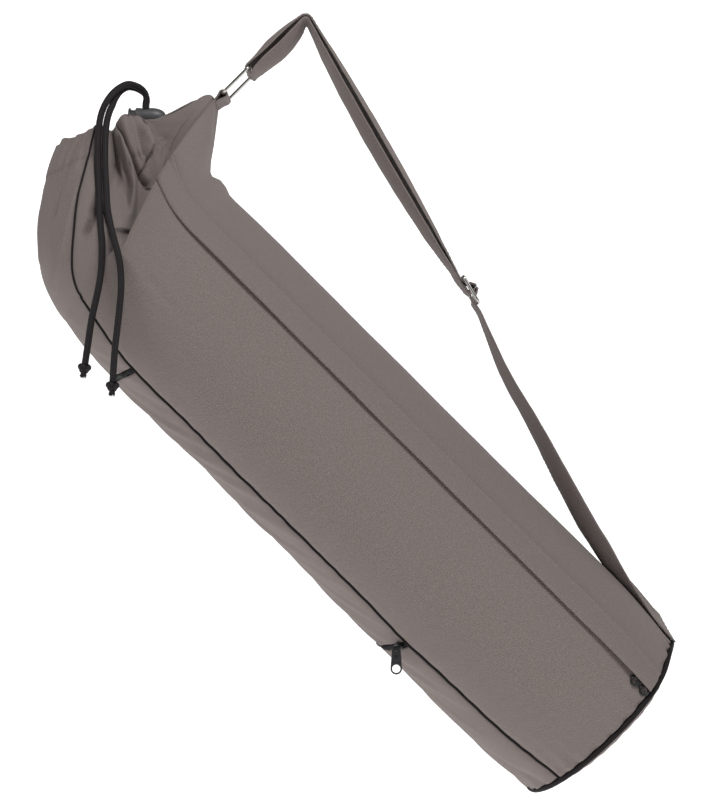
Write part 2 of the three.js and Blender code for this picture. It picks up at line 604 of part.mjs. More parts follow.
// Rows of a layer: shares of its run up to the hook, of the bend over it, and of its run down to the slider.
// Angles are those of the turn round the ring's bar, and round the slider's middle bar
const RISING_ROWS = [0.04, 0.12, 0.25, 0.45, 0.65, 0.82, 0.93];
const BEND_ROWS = [0, 0.25, 0.5, 0.75, 1];
const FALLING_ROWS = [0.05, 0.12, 0.25, 0.42, 0.6, 0.78, 0.88];
const SPREAD_END = 0.2;
const SPLAY_END = 0.9;
const RING_WRAP_TURNS = [-60, -25, 10, 45, 80];
const BAR_WRAP_TURNS = [-90, -55, -20, 15, 50, 80];
const SEWN_START = 10;
const SEWN_EASE = 6;
function strapLayers() {
  const layerShift = (STRAP_CLOTH + GAP) / 2;
  const ringWrap = (RING_WIRE / 2) * Math.SQRT2 + GAP + STRAP_CLOTH / 2;
  const leftLength = ringHead.distanceTo(bendCentre);
  const layer = (side, splay, sliderRows) => {
    const rows = [];
    for (const share of RISING_ROWS) {
      const spread = lerp(ringWrap, layerShift, Math.min(1, share / SPREAD_END));
      const bow = leftOut.clone().multiplyScalar(bendRadius * share + side * spread);
      const place = ringHead.clone().addScaledVector(leftAhead, leftLength * share).add(bow);
      rows.push({ place, splay: splay * splayShape(share) });
    }
    for (const share of BEND_ROWS) {
      const out = leftOut.clone().lerp(rightOut, share).normalize();
      rows.push({ place: bendCentre.clone().addScaledVector(out, bendRadius + side * layerShift), splay: 0 });
    }
    const toSlider = rightLength * SLIDER_SHARE;
    for (const share of FALLING_ROWS) {
      const place = rightStart.clone().addScaledVector(rightAhead, toSlider * share);
      place.addScaledVector(rightOut, side * layerShift);
      rows.push({ place, splay: splay * splayShape(share / SPLAY_END) });
    }
    for (const { at, value } of sliderRows) {
      const place = sliderAt.clone().addScaledVector(rightAhead, at).addScaledVector(rightOut, value);
      rows.push({ place, splay: 0 });
    }
    return rows;
  };
  const wrapped = layer(1, OUTER_SPLAY, SLIDING.slice(0, 4));
  wrapped.at(-1).place.addScaledVector(rightAhead, -GAP / 2);
  const wrap = [];
  for (const turn of RING_WRAP_TURNS) {
    const spot = ringHead.clone().addScaledVector(leftAhead, -ringWrap * Math.cos(rad(turn)));
    spot.addScaledVector(leftOut, ringWrap * Math.sin(rad(turn)));
    wrap.push({ place: spot, splay: 0 });
  }
  addNode(object, "strap_outer", band([...wrap, ...wrapped], STRAP_WIDTH, STRAP_CLOTH), cloth);
  const sewn = [
    { at: -SLIDER_PITCH - SEWN_START, value: underBar - STRAP_CLOTH - GAP },
    { at: -SLIDER_PITCH, value: underBar - STRAP_CLOTH - GAP },
    { at: -SEWN_EASE, value: (underBar - loopRadius - STRAP_CLOTH) / 2 },
  ];
  for (const turn of BAR_WRAP_TURNS) {
    sewn.push({ at: loopRadius * Math.cos(rad(turn)), value: loopRadius * Math.sin(rad(turn)) });
  }
  addNode(object, "strap_inner", band(layer(-1, INNER_SPLAY, sewn), STRAP_WIDTH, STRAP_CLOTH), cloth);
}

// The single lower run bows slightly and turns as it comes down to its seam at the base.
// Columns: share of the run, its bow as a share of the run, its turn in degrees
const LOWER_RUN = [
  { at: 0.17, bow: -0.014, splay: -8 },
  { at: 0.32, bow: -0.012, splay: -12 },
  { at: 0.48, bow: -0.014, splay: -14 },
  { at: 0.64, bow: -0.016, splay: -16 },
  { at: 0.72, bow: -0.012, splay: -12 },
  { at: 0.79, bow: -0.003, splay: -4 },
  { at: 0.86, bow: 0.008, splay: 4 },
  { at: 0.93, bow: 0.008, splay: 4 },
];
function strapLower() {
  const rows = SLIDING.slice(3).map(({ at, value }) => ({
    place: sliderAt.clone().addScaledVector(rightAhead, at).addScaledVector(rightOut, value),
    splay: 0,
  }));
  rows[0].place.addScaledVector(rightAhead, GAP / 2);
  const start = rows.at(-1).place.clone();
  const run = seat.distanceTo(start);
  const ahead = seat.clone().sub(start).normalize();
  const out = outwardOf(ahead);
  for (const { at, bow, splay } of LOWER_RUN) {
    const place = start.clone().addScaledVector(ahead, run * at).addScaledVector(out, run * bow);
    rows.push({ place, splay });
  }
  rows.push({ place: seat.clone(), splay: 0 });
  addNode(object, "strap_lower", band(rows, STRAP_WIDTH, STRAP_CLOTH), cloth);
}

function roundedFrame(width, length, corner) {
  const [x, y] = [width / 2, length / 2];
  const shape = new THREE.Shape();
  shape.moveTo(-x + corner, -y);
  shape.lineTo(x - corner, -y);
  shape.absarc(x - corner, -y + corner, corner, -Math.PI / 2, 0, false);
  shape.lineTo(x, y - corner);
  shape.absarc(x - corner, y - corner, corner, 0, Math.PI / 2, false);
  shape.lineTo(-x + corner, y);
  shape.absarc(-x + corner, y - corner, corner, Math.PI / 2, Math.PI, false);
  shape.lineTo(-x, -y + corner);
  shape.absarc(-x + corner, -y + corner, corner, Math.PI, 1.5 * Math.PI, false);
  return shape;
}

function slotHole(width, length, middle) {
  const [x, y] = [width / 2, length / 2];
  const hole = new THREE.Path();
  hole.moveTo(-x, middle - y);
  hole.lineTo(-x, middle + y);
  hole.lineTo(x, middle + y);
  hole.lineTo(x, middle - y);
  return hole;
}

// Stand a flat frame so that its width runs along Y and its length along a direction in the XZ plane
function placeFrame(geometry, centre, ahead) {
  const across = new THREE.Vector3(0, 1, 0);
  const basis = new THREE.Matrix4().makeBasis(across, ahead, across.clone().cross(ahead));
  geometry.applyMatrix4(basis);
  geometry.translate(centre.x, centre.y, centre.z);
  return geometry;
}

const RING_CORNER = 3.5;
const SLIDER_CORNER = 3;
const CORNER_STEPS = 4;
function strapMetal() {
  const ringShape = roundedFrame(RING_INSIDE + 2 * RING_WIRE, RING_LENGTH, RING_CORNER);
  ringShape.holes.push(slotHole(RING_INSIDE, RING_LENGTH - 2 * RING_WIRE, 0));
  const ring = extrudedFlat(ringShape, RING_WIRE, CORNER_STEPS);
  const ringMiddle = ringFoot.clone().lerp(ringHead, 0.5);
  const ringAhead = ringHead.clone().sub(ringFoot).normalize();
  addNode(object, "strap_ring", placeFrame(ring, ringMiddle, ringAhead), steel);
  const outside = 2 * SLIDER_PITCH + SLIDER_BAR;
  const sliderShape = roundedFrame(RING_INSIDE + 2 * RING_WIRE, outside, SLIDER_CORNER);
  for (const side of [-1, 1]) {
    sliderShape.holes.push(slotHole(RING_INSIDE, SLIDER_PITCH - SLIDER_BAR, (side * SLIDER_PITCH) / 2));
  }
  const slider = extrudedFlat(sliderShape, SLIDER_BAR, CORNER_STEPS);
  addNode(object, "strap_slider", placeFrame(slider, sliderAt, rightAhead), steel);
}

// The tab is a short loop of cloth from the peak round the lower bar of the ring.
// Columns of its legs: share of the way to the bar, and distance from the middle line
const TAB_LEG = [
  { reach: 0, aside: 1.25 },
  { reach: 0.45, aside: 1.9 },
];
const TAB_TURNS = [120, 90, 60, 30, 0, -30, -60, -90, -120];
const TAB_STAND = 0.9;
function strapTab() {
  const wrap = (RING_WIRE / 2) * Math.SQRT2 + GAP + CLOTH / 2;
  const foot = peakTop.clone().addScaledVector(tubeUp, TAB_STAND);
  const ahead = ringFoot.clone().sub(foot).normalize();
  const out = outwardOf(ahead);
  const reachOf = (share) => foot.clone().addScaledVector(ahead, foot.distanceTo(ringFoot) * share);
  const leg = (side) => ({ reach, aside }) => reachOf(reach).addScaledVector(out, side * aside);
  const round = (turn) => {
    const spot = ringFoot.clone().addScaledVector(ahead, wrap * Math.cos(rad(turn)));
    return spot.addScaledVector(out, wrap * Math.sin(rad(turn)));
  };
  const places = [...TAB_LEG.map(leg(1)), ...TAB_TURNS.map(round), ...TAB_LEG.toReversed().map(leg(-1))];
  const rows = places.map((place) => ({ place, splay: 0 }));
  addNode(object, "strap_tab", band(rows, TAB_WIDTH, CLOTH), cloth);
}

// Solids for joining and cutting
const WELD = 1e-4;
function solid(geometry) {
  const bare = geometry.clone();
  bare.deleteAttribute("normal");
  bare.deleteAttribute("uv");
  const merged = mergeVertices(bare, WELD);
  const vertProperties = new Float32Array(merged.attributes.position.array);
  const triVerts = new Uint32Array(merged.index.array);
  return new wasm.Manifold(new wasm.Mesh({ numProp: 3, vertProperties, triVerts }));
}

function geometryOf(manifold) {
  const mesh = manifold.getMesh();
  const geometry = new THREE.BufferGeometry();
  geometry.setAttribute("position", new THREE.BufferAttribute(mesh.vertProperties, 3));
  geometry.setIndex(new THREE.BufferAttribute(mesh.triVerts, 1));
  return geometry;
}

// A solid turned about the X axis, from rows { radius, at } that run from its right end to its left
function turnedSolid(rows, sides) {
  const profile = rows.map(({ radius, at }) => new THREE.Vector2(radius, at));
  return solid(new THREE.LatheGeometry(profile.toReversed(), sides).rotateZ(-Math.PI / 2));
}

// Cord lock: a bullet-shaped barrel on its side, with a sprung button at its left end.
// Both cords pass upwards through it, side by side.
const LOCK_WALL = 1.6;
const LOCK_SIDES = 16;
const LOCK_NOSE = 11;
const LOCK_TIP = 3;
const LOCK_TIP_SHARE = 0.5;
const LOCK_CHEEK_SHARE = 0.78;
const LOCK_FLOOR = 9;
const FLANGE = 2;
const HOLE_ACROSS = 4 * CORD_RADIUS + 3 * GAP;
const HOLE_ALONG = 2 * CORD_RADIUS + 2 * GAP;
const HOLE_SHIFT = -4.5;
const lockCentre = mouthAt.clone().add(LOCK_FROM_MOUTH);
const boreRadius = LOCK_RADIUS - LOCK_WALL;
const plungerRadius = boreRadius - GAP;
function lockPart(name, body, cutLength, cutShift) {
  const cut = new THREE.BoxGeometry(cutLength, HOLE_ACROSS, 4 * LOCK_RADIUS).translate(cutShift, 0, 0);
  const part = geometryOf(body.subtract(solid(cut)));
  part.translate(lockCentre.x, lockCentre.y, lockCentre.z);
  addNode(object, name, part, moulded);
}

function cordLock() {
  const half = LOCK_LENGTH / 2;
  const barrel = [
    { radius: 0, at: half },
    { radius: LOCK_RADIUS * LOCK_TIP_SHARE, at: half },
    { radius: LOCK_RADIUS * LOCK_CHEEK_SHARE, at: half - LOCK_TIP },
    { radius: LOCK_RADIUS, at: half - LOCK_NOSE },
    { radius: LOCK_RADIUS, at: -half },
    { radius: boreRadius, at: -half },
    { radius: boreRadius, at: half - LOCK_FLOOR },
    { radius: 0, at: half - LOCK_FLOOR },
  ];
  lockPart("cord_lock_barrel", turnedSolid(barrel, LOCK_SIDES), HOLE_ALONG, HOLE_SHIFT);
  const play = BUTTON_TRAVEL + GAP;
  const button = [
    { radius: 0, at: half - LOCK_FLOOR - play },
    { radius: plungerRadius, at: half - LOCK_FLOOR - play },
    { radius: plungerRadius, at: -half - play },
    { radius: LOCK_RADIUS, at: -half - play },
    { radius: LOCK_RADIUS, at: -half - play - FLANGE },
    { radius: 0, at: -half - play - FLANGE },
  ];
  lockPart("cord_lock_button", turnedSolid(button, LOCK_SIDES), HOLE_ALONG + play, HOLE_SHIFT - play / 2);
}

// Routes of the two cords from the middle of the mouth, chosen by hand: from the collar's walls to the lock,
// up out of it, over, and down the front of the bag
const CORD_LEFT = [
  [4.6, -33.6, 101],
  [4.6, -28, 100.2],
  [4.6, -22.8, 100.6],
  [4.6, -16.8, 102.2],
  [4.6, -12.4, 106.6],
  [4.6, -11.1, 113.6],
  [4.6, -11.1, 120.6],
  [4.6, -11.1, 130.6],
  [4.7, -11.1, 135.1],
  [5.5, -11.8, 140.3],
  [3.9, -15, 145.4],
  [-0.8, -22, 148.7],
  [-8, -31, 149.2],
  [-14.3, -39, 144.7],
  [-19.5, -46, 138.2],
  [-24.1, -51, 130.3],
  [-27.6, -54, 121.4],
  [-29.5, -56, 112],
  [-30.1, -60, 99],
  [-29.7, -65, 84.2],
  [-28.6, -71, 67.8],
  [-26.7, -78, 51.4],
  [-25.4, -84, 36.4],
  [-23.8, -89.5, 21.3],
  [-21.9, -93.5, 5.7],
  [-21.5, -95, -7.1],
  [-22.5, -94.5, -21.3],
  [-25.1, -93.5, -36.5],
  [-30.2, -93, -59.2],
  [-33.6, -93, -81.2],
  [-36.2, -93, -98.9],
];
const CORD_RIGHT = [
  [4.6, 33.6, 101],
  [4.6, 24, 99],
  [4.6, 14, 98.6],
  [4.6, 6.8, 100.6],
  [4.6, 0.8, 102.2],
  [4.6, -3.6, 106.6],
  [4.6, -4.9, 113.6],
  [4.6, -4.9, 120.6],
  [4.6, -4.9, 130.6],
  [4.6, -4.9, 135.1],
  [5.1, -4.9, 140],
  [3.7, -7.2, 144.8],
  [-1.7, -12.7, 148],
  [-8.3, -21.8, 148.2],
  [-14, -31, 143.7],
  [-17.9, -39.9, 135.7],
  [-19.9, -47.8, 127],
  [-21.7, -54, 119.6],
  [-23.4, -56, 111],
  [-23.9, -60, 98.6],
  [-23.5, -65, 84.2],
  [-22.4, -71, 68.1],
  [-20.5, -78, 51.8],
  [-18.7, -85, 36.3],
  [-15.6, -90.5, 21.2],
  [-11.2, -95, 5.6],
  [-7.4, -98, -7.3],
  [-5.2, -99.5, -20.1],
  [-4.8, -99.5, -35.2],
  [-6.2, -99, -52],
  [-8.3, -98.5, -70.4],
  [-10.3, -98, -87.2],
  [-12.1, -98, -114.2],
];
const CORD_SIDES = 8;
const CORD_STEPS = 52;
const KNOT_RADIUS = 5.6;
const KNOT_FLATNESS = 0.75;
function cords() {
  const routes = [
    { name: "cord_left", points: CORD_LEFT },
    { name: "cord_right", points: CORD_RIGHT },
  ];
  for (const { name, points } of routes) {
    const route = points.map((point) => new THREE.Vector3(...point).add(mouthAt));
    addNode(object, name, tubeAlong(route, CORD_RADIUS, CORD_SIDES, CORD_STEPS), trim);
    const end = route.at(-1);
    const knot = new THREE.SphereGeometry(KNOT_RADIUS, 10, 8);
    knot.scale(1, 1, KNOT_FLATNESS);
    knot.translate(end.x, end.y, end.z - KNOT_RADIUS * KNOT_FLATNESS - GAP);
    addNode(object, `${name}_knot`, knot, trim);
  }
}

// Slider of the lower pocket zip, with the pin that its pull hangs on
const POCKET_SLIDER_TURN = FRONT_SEAM - 5.5;
const PIN_RADIUS = 0.9;
const SLIDER_LENGTH = 9;
const SLIDER_WIDTH = 8;
const SLIDER_HEIGHT = 3.6;
const PIN_STAND = 6.4;
const PIN_REACH = 5.2;
const PIN_SIDES = 10;
const PIN_HEAD_RADIUS = 1.9;
const PIN_HEAD_THICK = 0.8;
const SLIDER_NECK = 2.4;
function pocketSlider() {
  const height = lowerZip(0)(POCKET_SLIDER_TURN) + 1;
  const seatSpot = skin(POCKET_SLIDER_TURN, height, -GAP);
  const outwards = aroundTube(POCKET_SLIDER_TURN, 1, 0);
  const turnedTo = (geometry, stand) => {
    geometry.rotateZ(rad(POCKET_SLIDER_TURN));
    const spot = seatSpot.clone().addScaledVector(outwards, stand);
    return geometry.translate(spot.x, spot.y, spot.z);
  };
  const body = turnedTo(new THREE.BoxGeometry(SLIDER_LENGTH, SLIDER_HEIGHT, SLIDER_WIDTH), SLIDER_HEIGHT / 2);
  const neck = turnedTo(new THREE.BoxGeometry(SLIDER_NECK, PIN_STAND, SLIDER_NECK), PIN_STAND / 2);
  const pinSpot = seatSpot.clone().addScaledVector(outwards, PIN_STAND - PIN_RADIUS);
  const pin = new THREE.CylinderGeometry(PIN_RADIUS, PIN_RADIUS, PIN_REACH + PIN_HEAD_THICK, PIN_SIDES);
  pin.translate(pinSpot.x, pinSpot.y - PIN_REACH / 2, pinSpot.z);
  const head = new THREE.CylinderGeometry(PIN_HEAD_RADIUS, PIN_HEAD_RADIUS, PIN_HEAD_THICK, PIN_SIDES);
  head.translate(pinSpot.x, pinSpot.y - PIN_REACH - PIN_HEAD_THICK / 2, pinSpot.z);
  const whole = [neck, pin, head].reduce((sum, piece) => sum.add(solid(piece)), solid(body));
  addNode(tube, "pocket_slider", geometryOf(whole), trim);
  return new THREE.Vector3(pinSpot.x, pinSpot.y - PIN_REACH + GAP + PULL_THICK / 2, pinSpot.z);
}

// The pull is a tapered tab with an eye at its top and a finger hole at its foot
function pocketPull(pinSpot) {
  const eyeRadius = PIN_RADIUS + GAP;
  const crown = PULL_TOP_WIDTH / 2;
  const foot = PULL_END_WIDTH / 2;
  const footCentre = crown - PULL_LENGTH + foot;
  const outline = new THREE.Shape();
  outline.absarc(0, 0, crown, 0, Math.PI, false);
  outline.lineTo(-foot, footCentre);
  outline.absarc(0, footCentre, foot, Math.PI, 2 * Math.PI, false);
  const eye = new THREE.Path();
  eye.absarc(0, 0, eyeRadius, 0, 2 * Math.PI, true);
  const hole = new THREE.Path();
  hole.absarc(0, footCentre, foot * PULL_HOLE_SHARE, 0, 2 * Math.PI, true);
  outline.holes.push(eye, hole);
  const pull = extrudedFlat(outline, PULL_THICK);
  pull.rotateX(Math.PI / 2);
  const spot = pinSpot.clone().applyMatrix4(tube.matrixWorld);
  pull.translate(spot.x, spot.y, spot.z);
  addNode(object, "pocket_pull", pull, trim);
}

mainCloth();
zipTapes();
zipFlap();
mainPulls();
gatheredCollar();
sideSeams();
roundBase();
pocketPull(pocketSlider());
strapLayers();
strapLower();
strapMetal();
strapTab();
cordLock();
cords();

export default object;
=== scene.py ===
"""Looks of a drawstring yoga mat bag hanging by its shoulder strap.

The bag's own frame has x to its upper side, -y to its front and t along the tube from base to mouth.
Lengths are in millimetres until a point is placed in the scene, which is in metres.
"""

import logging
import math
from collections.abc import Callable, Sequence
from dataclasses import dataclass, field
from enum import Enum
from functools import lru_cache

import bmesh
import bpy
from mathutils import Matrix, Vector, noise

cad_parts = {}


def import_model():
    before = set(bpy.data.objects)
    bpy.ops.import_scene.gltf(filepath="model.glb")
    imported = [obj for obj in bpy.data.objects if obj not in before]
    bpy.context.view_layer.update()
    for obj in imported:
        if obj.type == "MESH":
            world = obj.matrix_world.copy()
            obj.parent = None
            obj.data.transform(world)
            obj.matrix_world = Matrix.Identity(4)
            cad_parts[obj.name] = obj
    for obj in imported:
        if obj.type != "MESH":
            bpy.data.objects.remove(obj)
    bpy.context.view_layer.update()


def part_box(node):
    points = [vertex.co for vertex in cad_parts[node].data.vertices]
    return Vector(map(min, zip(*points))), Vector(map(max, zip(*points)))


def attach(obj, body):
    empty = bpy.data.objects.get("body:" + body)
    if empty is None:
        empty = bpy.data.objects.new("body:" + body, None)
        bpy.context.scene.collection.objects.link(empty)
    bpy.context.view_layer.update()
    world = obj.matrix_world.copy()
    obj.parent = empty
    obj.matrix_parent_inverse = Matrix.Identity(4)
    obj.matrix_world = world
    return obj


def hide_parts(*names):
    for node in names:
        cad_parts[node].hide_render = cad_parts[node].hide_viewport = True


log = logging.getLogger("mat_bag")

MM = 0.001
DIAGONAL = math.sqrt(0.5)
SIDEWAYS = Vector((0, 1, 0))

Height = Callable[[float], float]
Radius = Callable[[float, float], float]
Spot = tuple[Vector, Vector, Vector]


def lerp(low: float, high: float, share: float) -> float:
    """Return the value a share of the way from low to high."""
    return low + (high - low) * share


def clamp(value: float, low: float = 0.0, high: float = 1.0) -> float:
    """Return the value held between low and high."""
    return min(high, max(low, value))


def smooth(value: float, low: float = 0.0, high: float = 1.0) -> float:
    """Return 0 below low and 1 above high with an eased run between them."""
    share = clamp((value - low) / (high - low))
    return share * share * (3 - 2 * share)


def hump(value: float, centre: float, spread: float) -> float:
    """Return a bell curve of height 1 about a centre."""
    return math.exp(-(((value - centre) / spread) ** 2))


def along(rows: Sequence[tuple[float, float]], at: float) -> float:
    """Read a table of (at, value) rows with straight lines between them.

    Args:
        rows: The table, sorted by its first column.
        at: Where to read it.

    Returns:
        The value there, held at both ends.
    """
    if at <= rows[0][0]:
        return rows[0][1]
    for (low_at, low), (high_at, high) in zip(rows, rows[1:]):
        if at <= high_at:
            return lerp(low, high, (at - low_at) / (high_at - low_at))
    return rows[-1][1]


def eased(rows: Sequence[tuple[float, float]], at: float, window: float) -> float:
    """Read a table with its corners rounded over a window either side."""
    samples = (-1.0, -0.5, 0.0, 0.5, 1.0)
    return sum(along(rows, at + window * step) for step in samples) / len(samples)


def wobble(x: float, y: float, z: float = 0.0) -> float:
    """Return smooth noise from -1 to 1, the same on every run."""
    return noise.noise(Vector((x + 31.7, y + 11.3, z + 5.9)))


def ring_noise(turn: float, across: float, other: float, seed: float = 0.0) -> float:
    """Return smooth noise that meets itself round the tube.

    Args:
        turn: The angle round the tube, in degrees.
        across: Degrees of each blotch of the noise.
        other: Place along the second axis.
        seed: Picks another pattern.

    Returns:
        A value from -1 to 1.
    """
    reach = math.degrees(1.0) / across
    angle = math.radians(turn)
    return noise.noise(Vector((math.cos(angle) * reach + seed * 7.7, math.sin(angle) * reach, other + seed)))


def in_scene(point: Vector) -> Vector:
    """Place a point of the bag's own frame in the scene, in metres."""
    east = BAG.base_reach + (point.x - point.z) * DIAGONAL
    up = -BAG.base_drop + (point.x + point.z) * DIAGONAL
    return Vector((east, point.y, up)) * MM


def around(turn: float, radius: float, height: float) -> Vector:
    """Return the point of the bag's frame at an angle from the front, a radius and a height."""
    angle = math.radians(turn)
    return Vector((math.sin(angle) * radius, -math.cos(angle) * radius, height))


class Body(str, Enum):
    """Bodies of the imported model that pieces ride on."""

    BAG = "bag"
    PULL = "pocket_pull"
    BUTTON = "lock_button"


class Slot(str, Enum):
    """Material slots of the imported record."""

    CANVAS = "canvas"
    STRAP = "strap_canvas"
    PIPING = "piping"
    ZIP = "zip"
    ZIP_METAL = "zip_metal"
    STEEL = "steel"
    LOCK = "lock_plastic"
    CORD = "drawcord"


class Zone(Enum):
    """Stretches of the cloth from the base to the mouth."""

    TUBE = 0
    FOLD = 1
    COLLAR = 2
    HEM = 3


@dataclass(frozen=True)
class BagShape:
    """Sizes of the cloth tube, its crease and its gathered mouth."""

    radius: float = 95.5
    length: float = 585
    crown: float = 55
    hem_start: float = 5
    base_reach: float = 266
    base_drop: float = 624.3
    front_seam: float = -49
    back_seam: float = -131
    zip_angle: float = 36
    flap_low: float = 28.5
    flap_high: float = 44
    crease_start: float = -5
    crease_bow: float = 7
    peak_height: float = 49.3
    peak_reach: float = 49
    tab_width: float = 38
    heel_lift: float = 4.5
    heel_turn: float = 66
    heel_spread: float = 20
    heel_reach: float = 0.12
    mouth_radius: float = 41
    mouth_ahead: float = 103
    mouth_aside: float = 58
    mouth_lean: float = 29.8
    mouth_tail: float = 56
    tail_spread: float = 17
    gathers: int = 12
    gather_depth: float = 5.6
    gather_drift: float = 7
    lower_draw: float = 0.052
    channel: float = 23
    girth: tuple = ((0, 0.955), (0.05, 0.997), (0.11, 1.015), (0.19, 1.014), (0.38, 1.003), (0.5, 1))
    wander: tuple = ((0, 7), (0.11, 3.5), (0.25, 1), (0.31, -1.8), (0.37, 0), (0.88, -2), (0.94, 3), (1, 10))
    collar_seam: tuple = ((0, 8), (0.11, 14), (0.26, 25), (0.43, 32), (0.63, 36.5), (0.85, 41), (1, 45))
    rim_dips: tuple = ((64, 15, 6.5), (-75, 25, 5), (-30, 20, 6), (11, 11, 9))
    bulge: float = 5.0
    lower_zip: float = 177
    upper_zip: float = 511
    zip_arch: float = 12

    def half_tab(self) -> float:
        """Half of the tab's width as an angle round the tube."""
        return math.degrees(self.tab_width / 2 / self.radius)

    def girth_at(self, height: float) -> float:
        """Radius of the tube at a height."""
        return self.radius * eased(self.girth, height / self.length, 0.03)

    def top_edge(self, turn: float) -> Vector:
        """Upper edge of the tube's cloth: level below, and a straight crease up to the tab."""
        if not self.crease_start < turn < 180 - self.crease_start:
            drawn = self.lower_draw * max(0.0, math.cos(math.radians(turn + 90))) ** 2
            return around(turn, self.radius * (1 - drawn), self.length)
        mirrored = 180 - turn if turn > 90 else turn
        side = 1 if turn > 90 else -1
        tab_start = 90 - self.half_tab()
        table = ((self.crease_start, 0), (self.flap_low, 0.43), (self.flap_high, 0.6), (tab_start, 1))
        share = clamp(eased(table, mirrored, 3.0))
        if mirrored >= tab_start:
            share = 1.0
        foot = around(self.crease_start, self.radius, self.length)
        peak = Vector((self.radius + self.peak_height, -self.tab_width / 2, self.length + self.peak_reach))
        edge = foot.lerp(peak, share) + Vector((0, 0, self.crease_bow * math.sin(math.pi * share)))
        if share >= 1:
            edge.y = -self.tab_width / 2 * (90 - mirrored) / self.half_tab()
        edge.y *= -side
        return edge

    def lift(self, turn: float, height: float) -> float:
        """How far the strap's seam pulls the base up at an angle."""
        fade = max(0.0, 1 - height / (self.length * self.heel_reach))
        return self.heel_lift * hump(turn, self.heel_turn, self.heel_spread) * fade

    def plain(self, turn: float, height: float) -> Vector:
        """Point of the smooth tube at an angle and a height along its cloth."""
        start = self.length - self.crown
        if height <= start:
            return around(turn, self.girth_at(height), height + self.lift(turn, height))
        upper = hump(turn, 90, 42)
        edge = self.top_edge(turn)
        share = (height - start) / self.crown
        split = lerp(0.55, 0.61, upper)
        low = around(turn, self.girth_at(start), start)
        corner = around(turn, self.radius - 2.0 * upper, lerp(start, edge.z, split))
        soft = lerp(0.3, 0.07, upper)
        if share < split - soft:
            return low.lerp(corner, share / split)
        if share > split + soft:
            return corner.lerp(edge, (share - split) / (1 - split))
        first = low.lerp(corner, (split - soft) / split)
        last = corner.lerp(edge, soft / (1 - split))
        local = (share - split + soft) / (2 * soft)
        return first * (1 - local) ** 2 + corner * 2 * local * (1 - local) + last * local**2

    def relief(self, turn: float, height: float) -> float:
        """How far the tube's cloth stands out or in at a spot: puckers, dents and soft folds."""
        crown = smooth(height, self.length, self.length - 60)
        total = 0.5 * ring_noise(turn, 26, height / 75)
        total += 0.22 * ring_noise(turn, 7, height / 24, 3)
        side = turn if turn < 180 else turn - 360
        for seam in (self.seam(1, height), self.seam(-1, height)):
            away = abs(side - seam) * math.radians(self.radius)
            ripple = math.sin(height / 3.3 + 2.4 * wobble(height / 30, 7))
            total += 0.5 * ripple * math.exp(-away / 9) * (0.5 + 0.5 * wobble(height / 40, 2))
            total -= 1.7 * math.exp(-((away / 3.2) ** 2))
        under = smooth(side, self.front_seam + 4, self.front_seam - 12) * smooth(side, -180, -150)
        slant = height * 0.8 + (side - self.front_seam) * 1.9
        total += under * (2.8 * wobble(slant / 34, side / 60, 9) + 1.9 * wobble(slant / 13, side / 40, 4))
        base = math.exp(-((height - self.hem_start) / 15))
        total += base * 0.9 * math.sin(math.radians(turn) * 34 + 3 * ring_noise(turn, 20, 1))
        total += 1.2 * base * ring_noise(turn, 9, 6)
        roll = 8.0 * hump(height, self.length - 28, 4.5) - 3.0 * hump(height, self.length - 17, 4.0)
        total += roll * hump(turn, 90, 34)
        dent = hump(turn, -3 - (self.length - height) * 0.035, 2.6)
        total -= 1.5 * dent * smooth(height, 500, 560) * crown
        return total * (0.35 + 0.65 * crown)

    def seam(self, side: int, height: float) -> float:
        """Angle of the front (1) or back (-1) side seam at a height of the tube."""
        share = (height - self.hem_start) / (self.length - self.hem_start)
        middle = self.front_seam if side > 0 else self.back_seam
        return middle + side * eased(self.wander, share, 0.03)

    def folded(self, turn: float) -> float:
        """How fully the cloth is folded at an angle: 0 on the lower side and 1 under the crease."""
        mirrored = 180 - turn if turn > 90 else turn
        tapered = 1 - 0.8 * smooth(mirrored, 54, 76)
        return smooth(mirrored, self.crease_start, self.crease_start + 14) * tapered

    def mouth_out(self, turn: float) -> Vector:
        """Direction in the mouth's plane at an angle."""
        lean = math.radians(self.mouth_lean)
        across = Vector((math.cos(lean), 0, -math.sin(lean)))
        return across * math.sin(math.radians(turn)) + Vector((0, -math.cos(math.radians(turn)), 0))

    def mouth_up(self) -> Vector:
        """Direction square to the mouth's plane, out of the bag."""
        lean = math.radians(self.mouth_lean)
        return Vector((math.sin(lean), 0, math.cos(lean)))

    def tail(self, turn: float) -> float:
        """How far an angle belongs to the mouth's narrow tail towards the tab."""
        return hump(turn, 90, self.tail_spread)

    def rim(self, turn: float) -> Vector:
        """Smooth line of the mouth's rim."""
        centre = Vector((self.mouth_aside, 0, self.length + self.mouth_ahead))
        reach = self.mouth_radius + self.mouth_tail * self.tail(turn)
        dip = sum(depth * hump(turn, middle, spread) for middle, spread, depth in self.rim_dips)
        return centre + self.mouth_out(turn) * reach - self.mouth_up() * dip

    def folds(self, turn: float, share: float) -> float:
        """How far the gathers stand out at an angle and a share of the collar."""
        drift = self.gather_drift * math.sin(math.radians(2 * turn))
        phase = math.radians(self.gathers * (turn + drift) + 180) / 2
        ridge = 2 * (math.sin(phase) ** 2 + 0.012) ** 0.36 - 1.05
        uneven = 0.8 + 0.5 * ring_noise(turn, 21, 3)
        spread = share**1.7
        fine = 0.9 * share**4 * math.sin(math.radians(41 * turn) + 2 * ring_noise(turn, 12, 8))
        free = 1 - 0.75 * smooth(turn, -70, -45) * smooth(turn, 75, 60)
        return (self.gather_depth * spread * ridge * uneven * free + fine) * (1 - 0.8 * self.tail(turn))


BAG = BagShape()

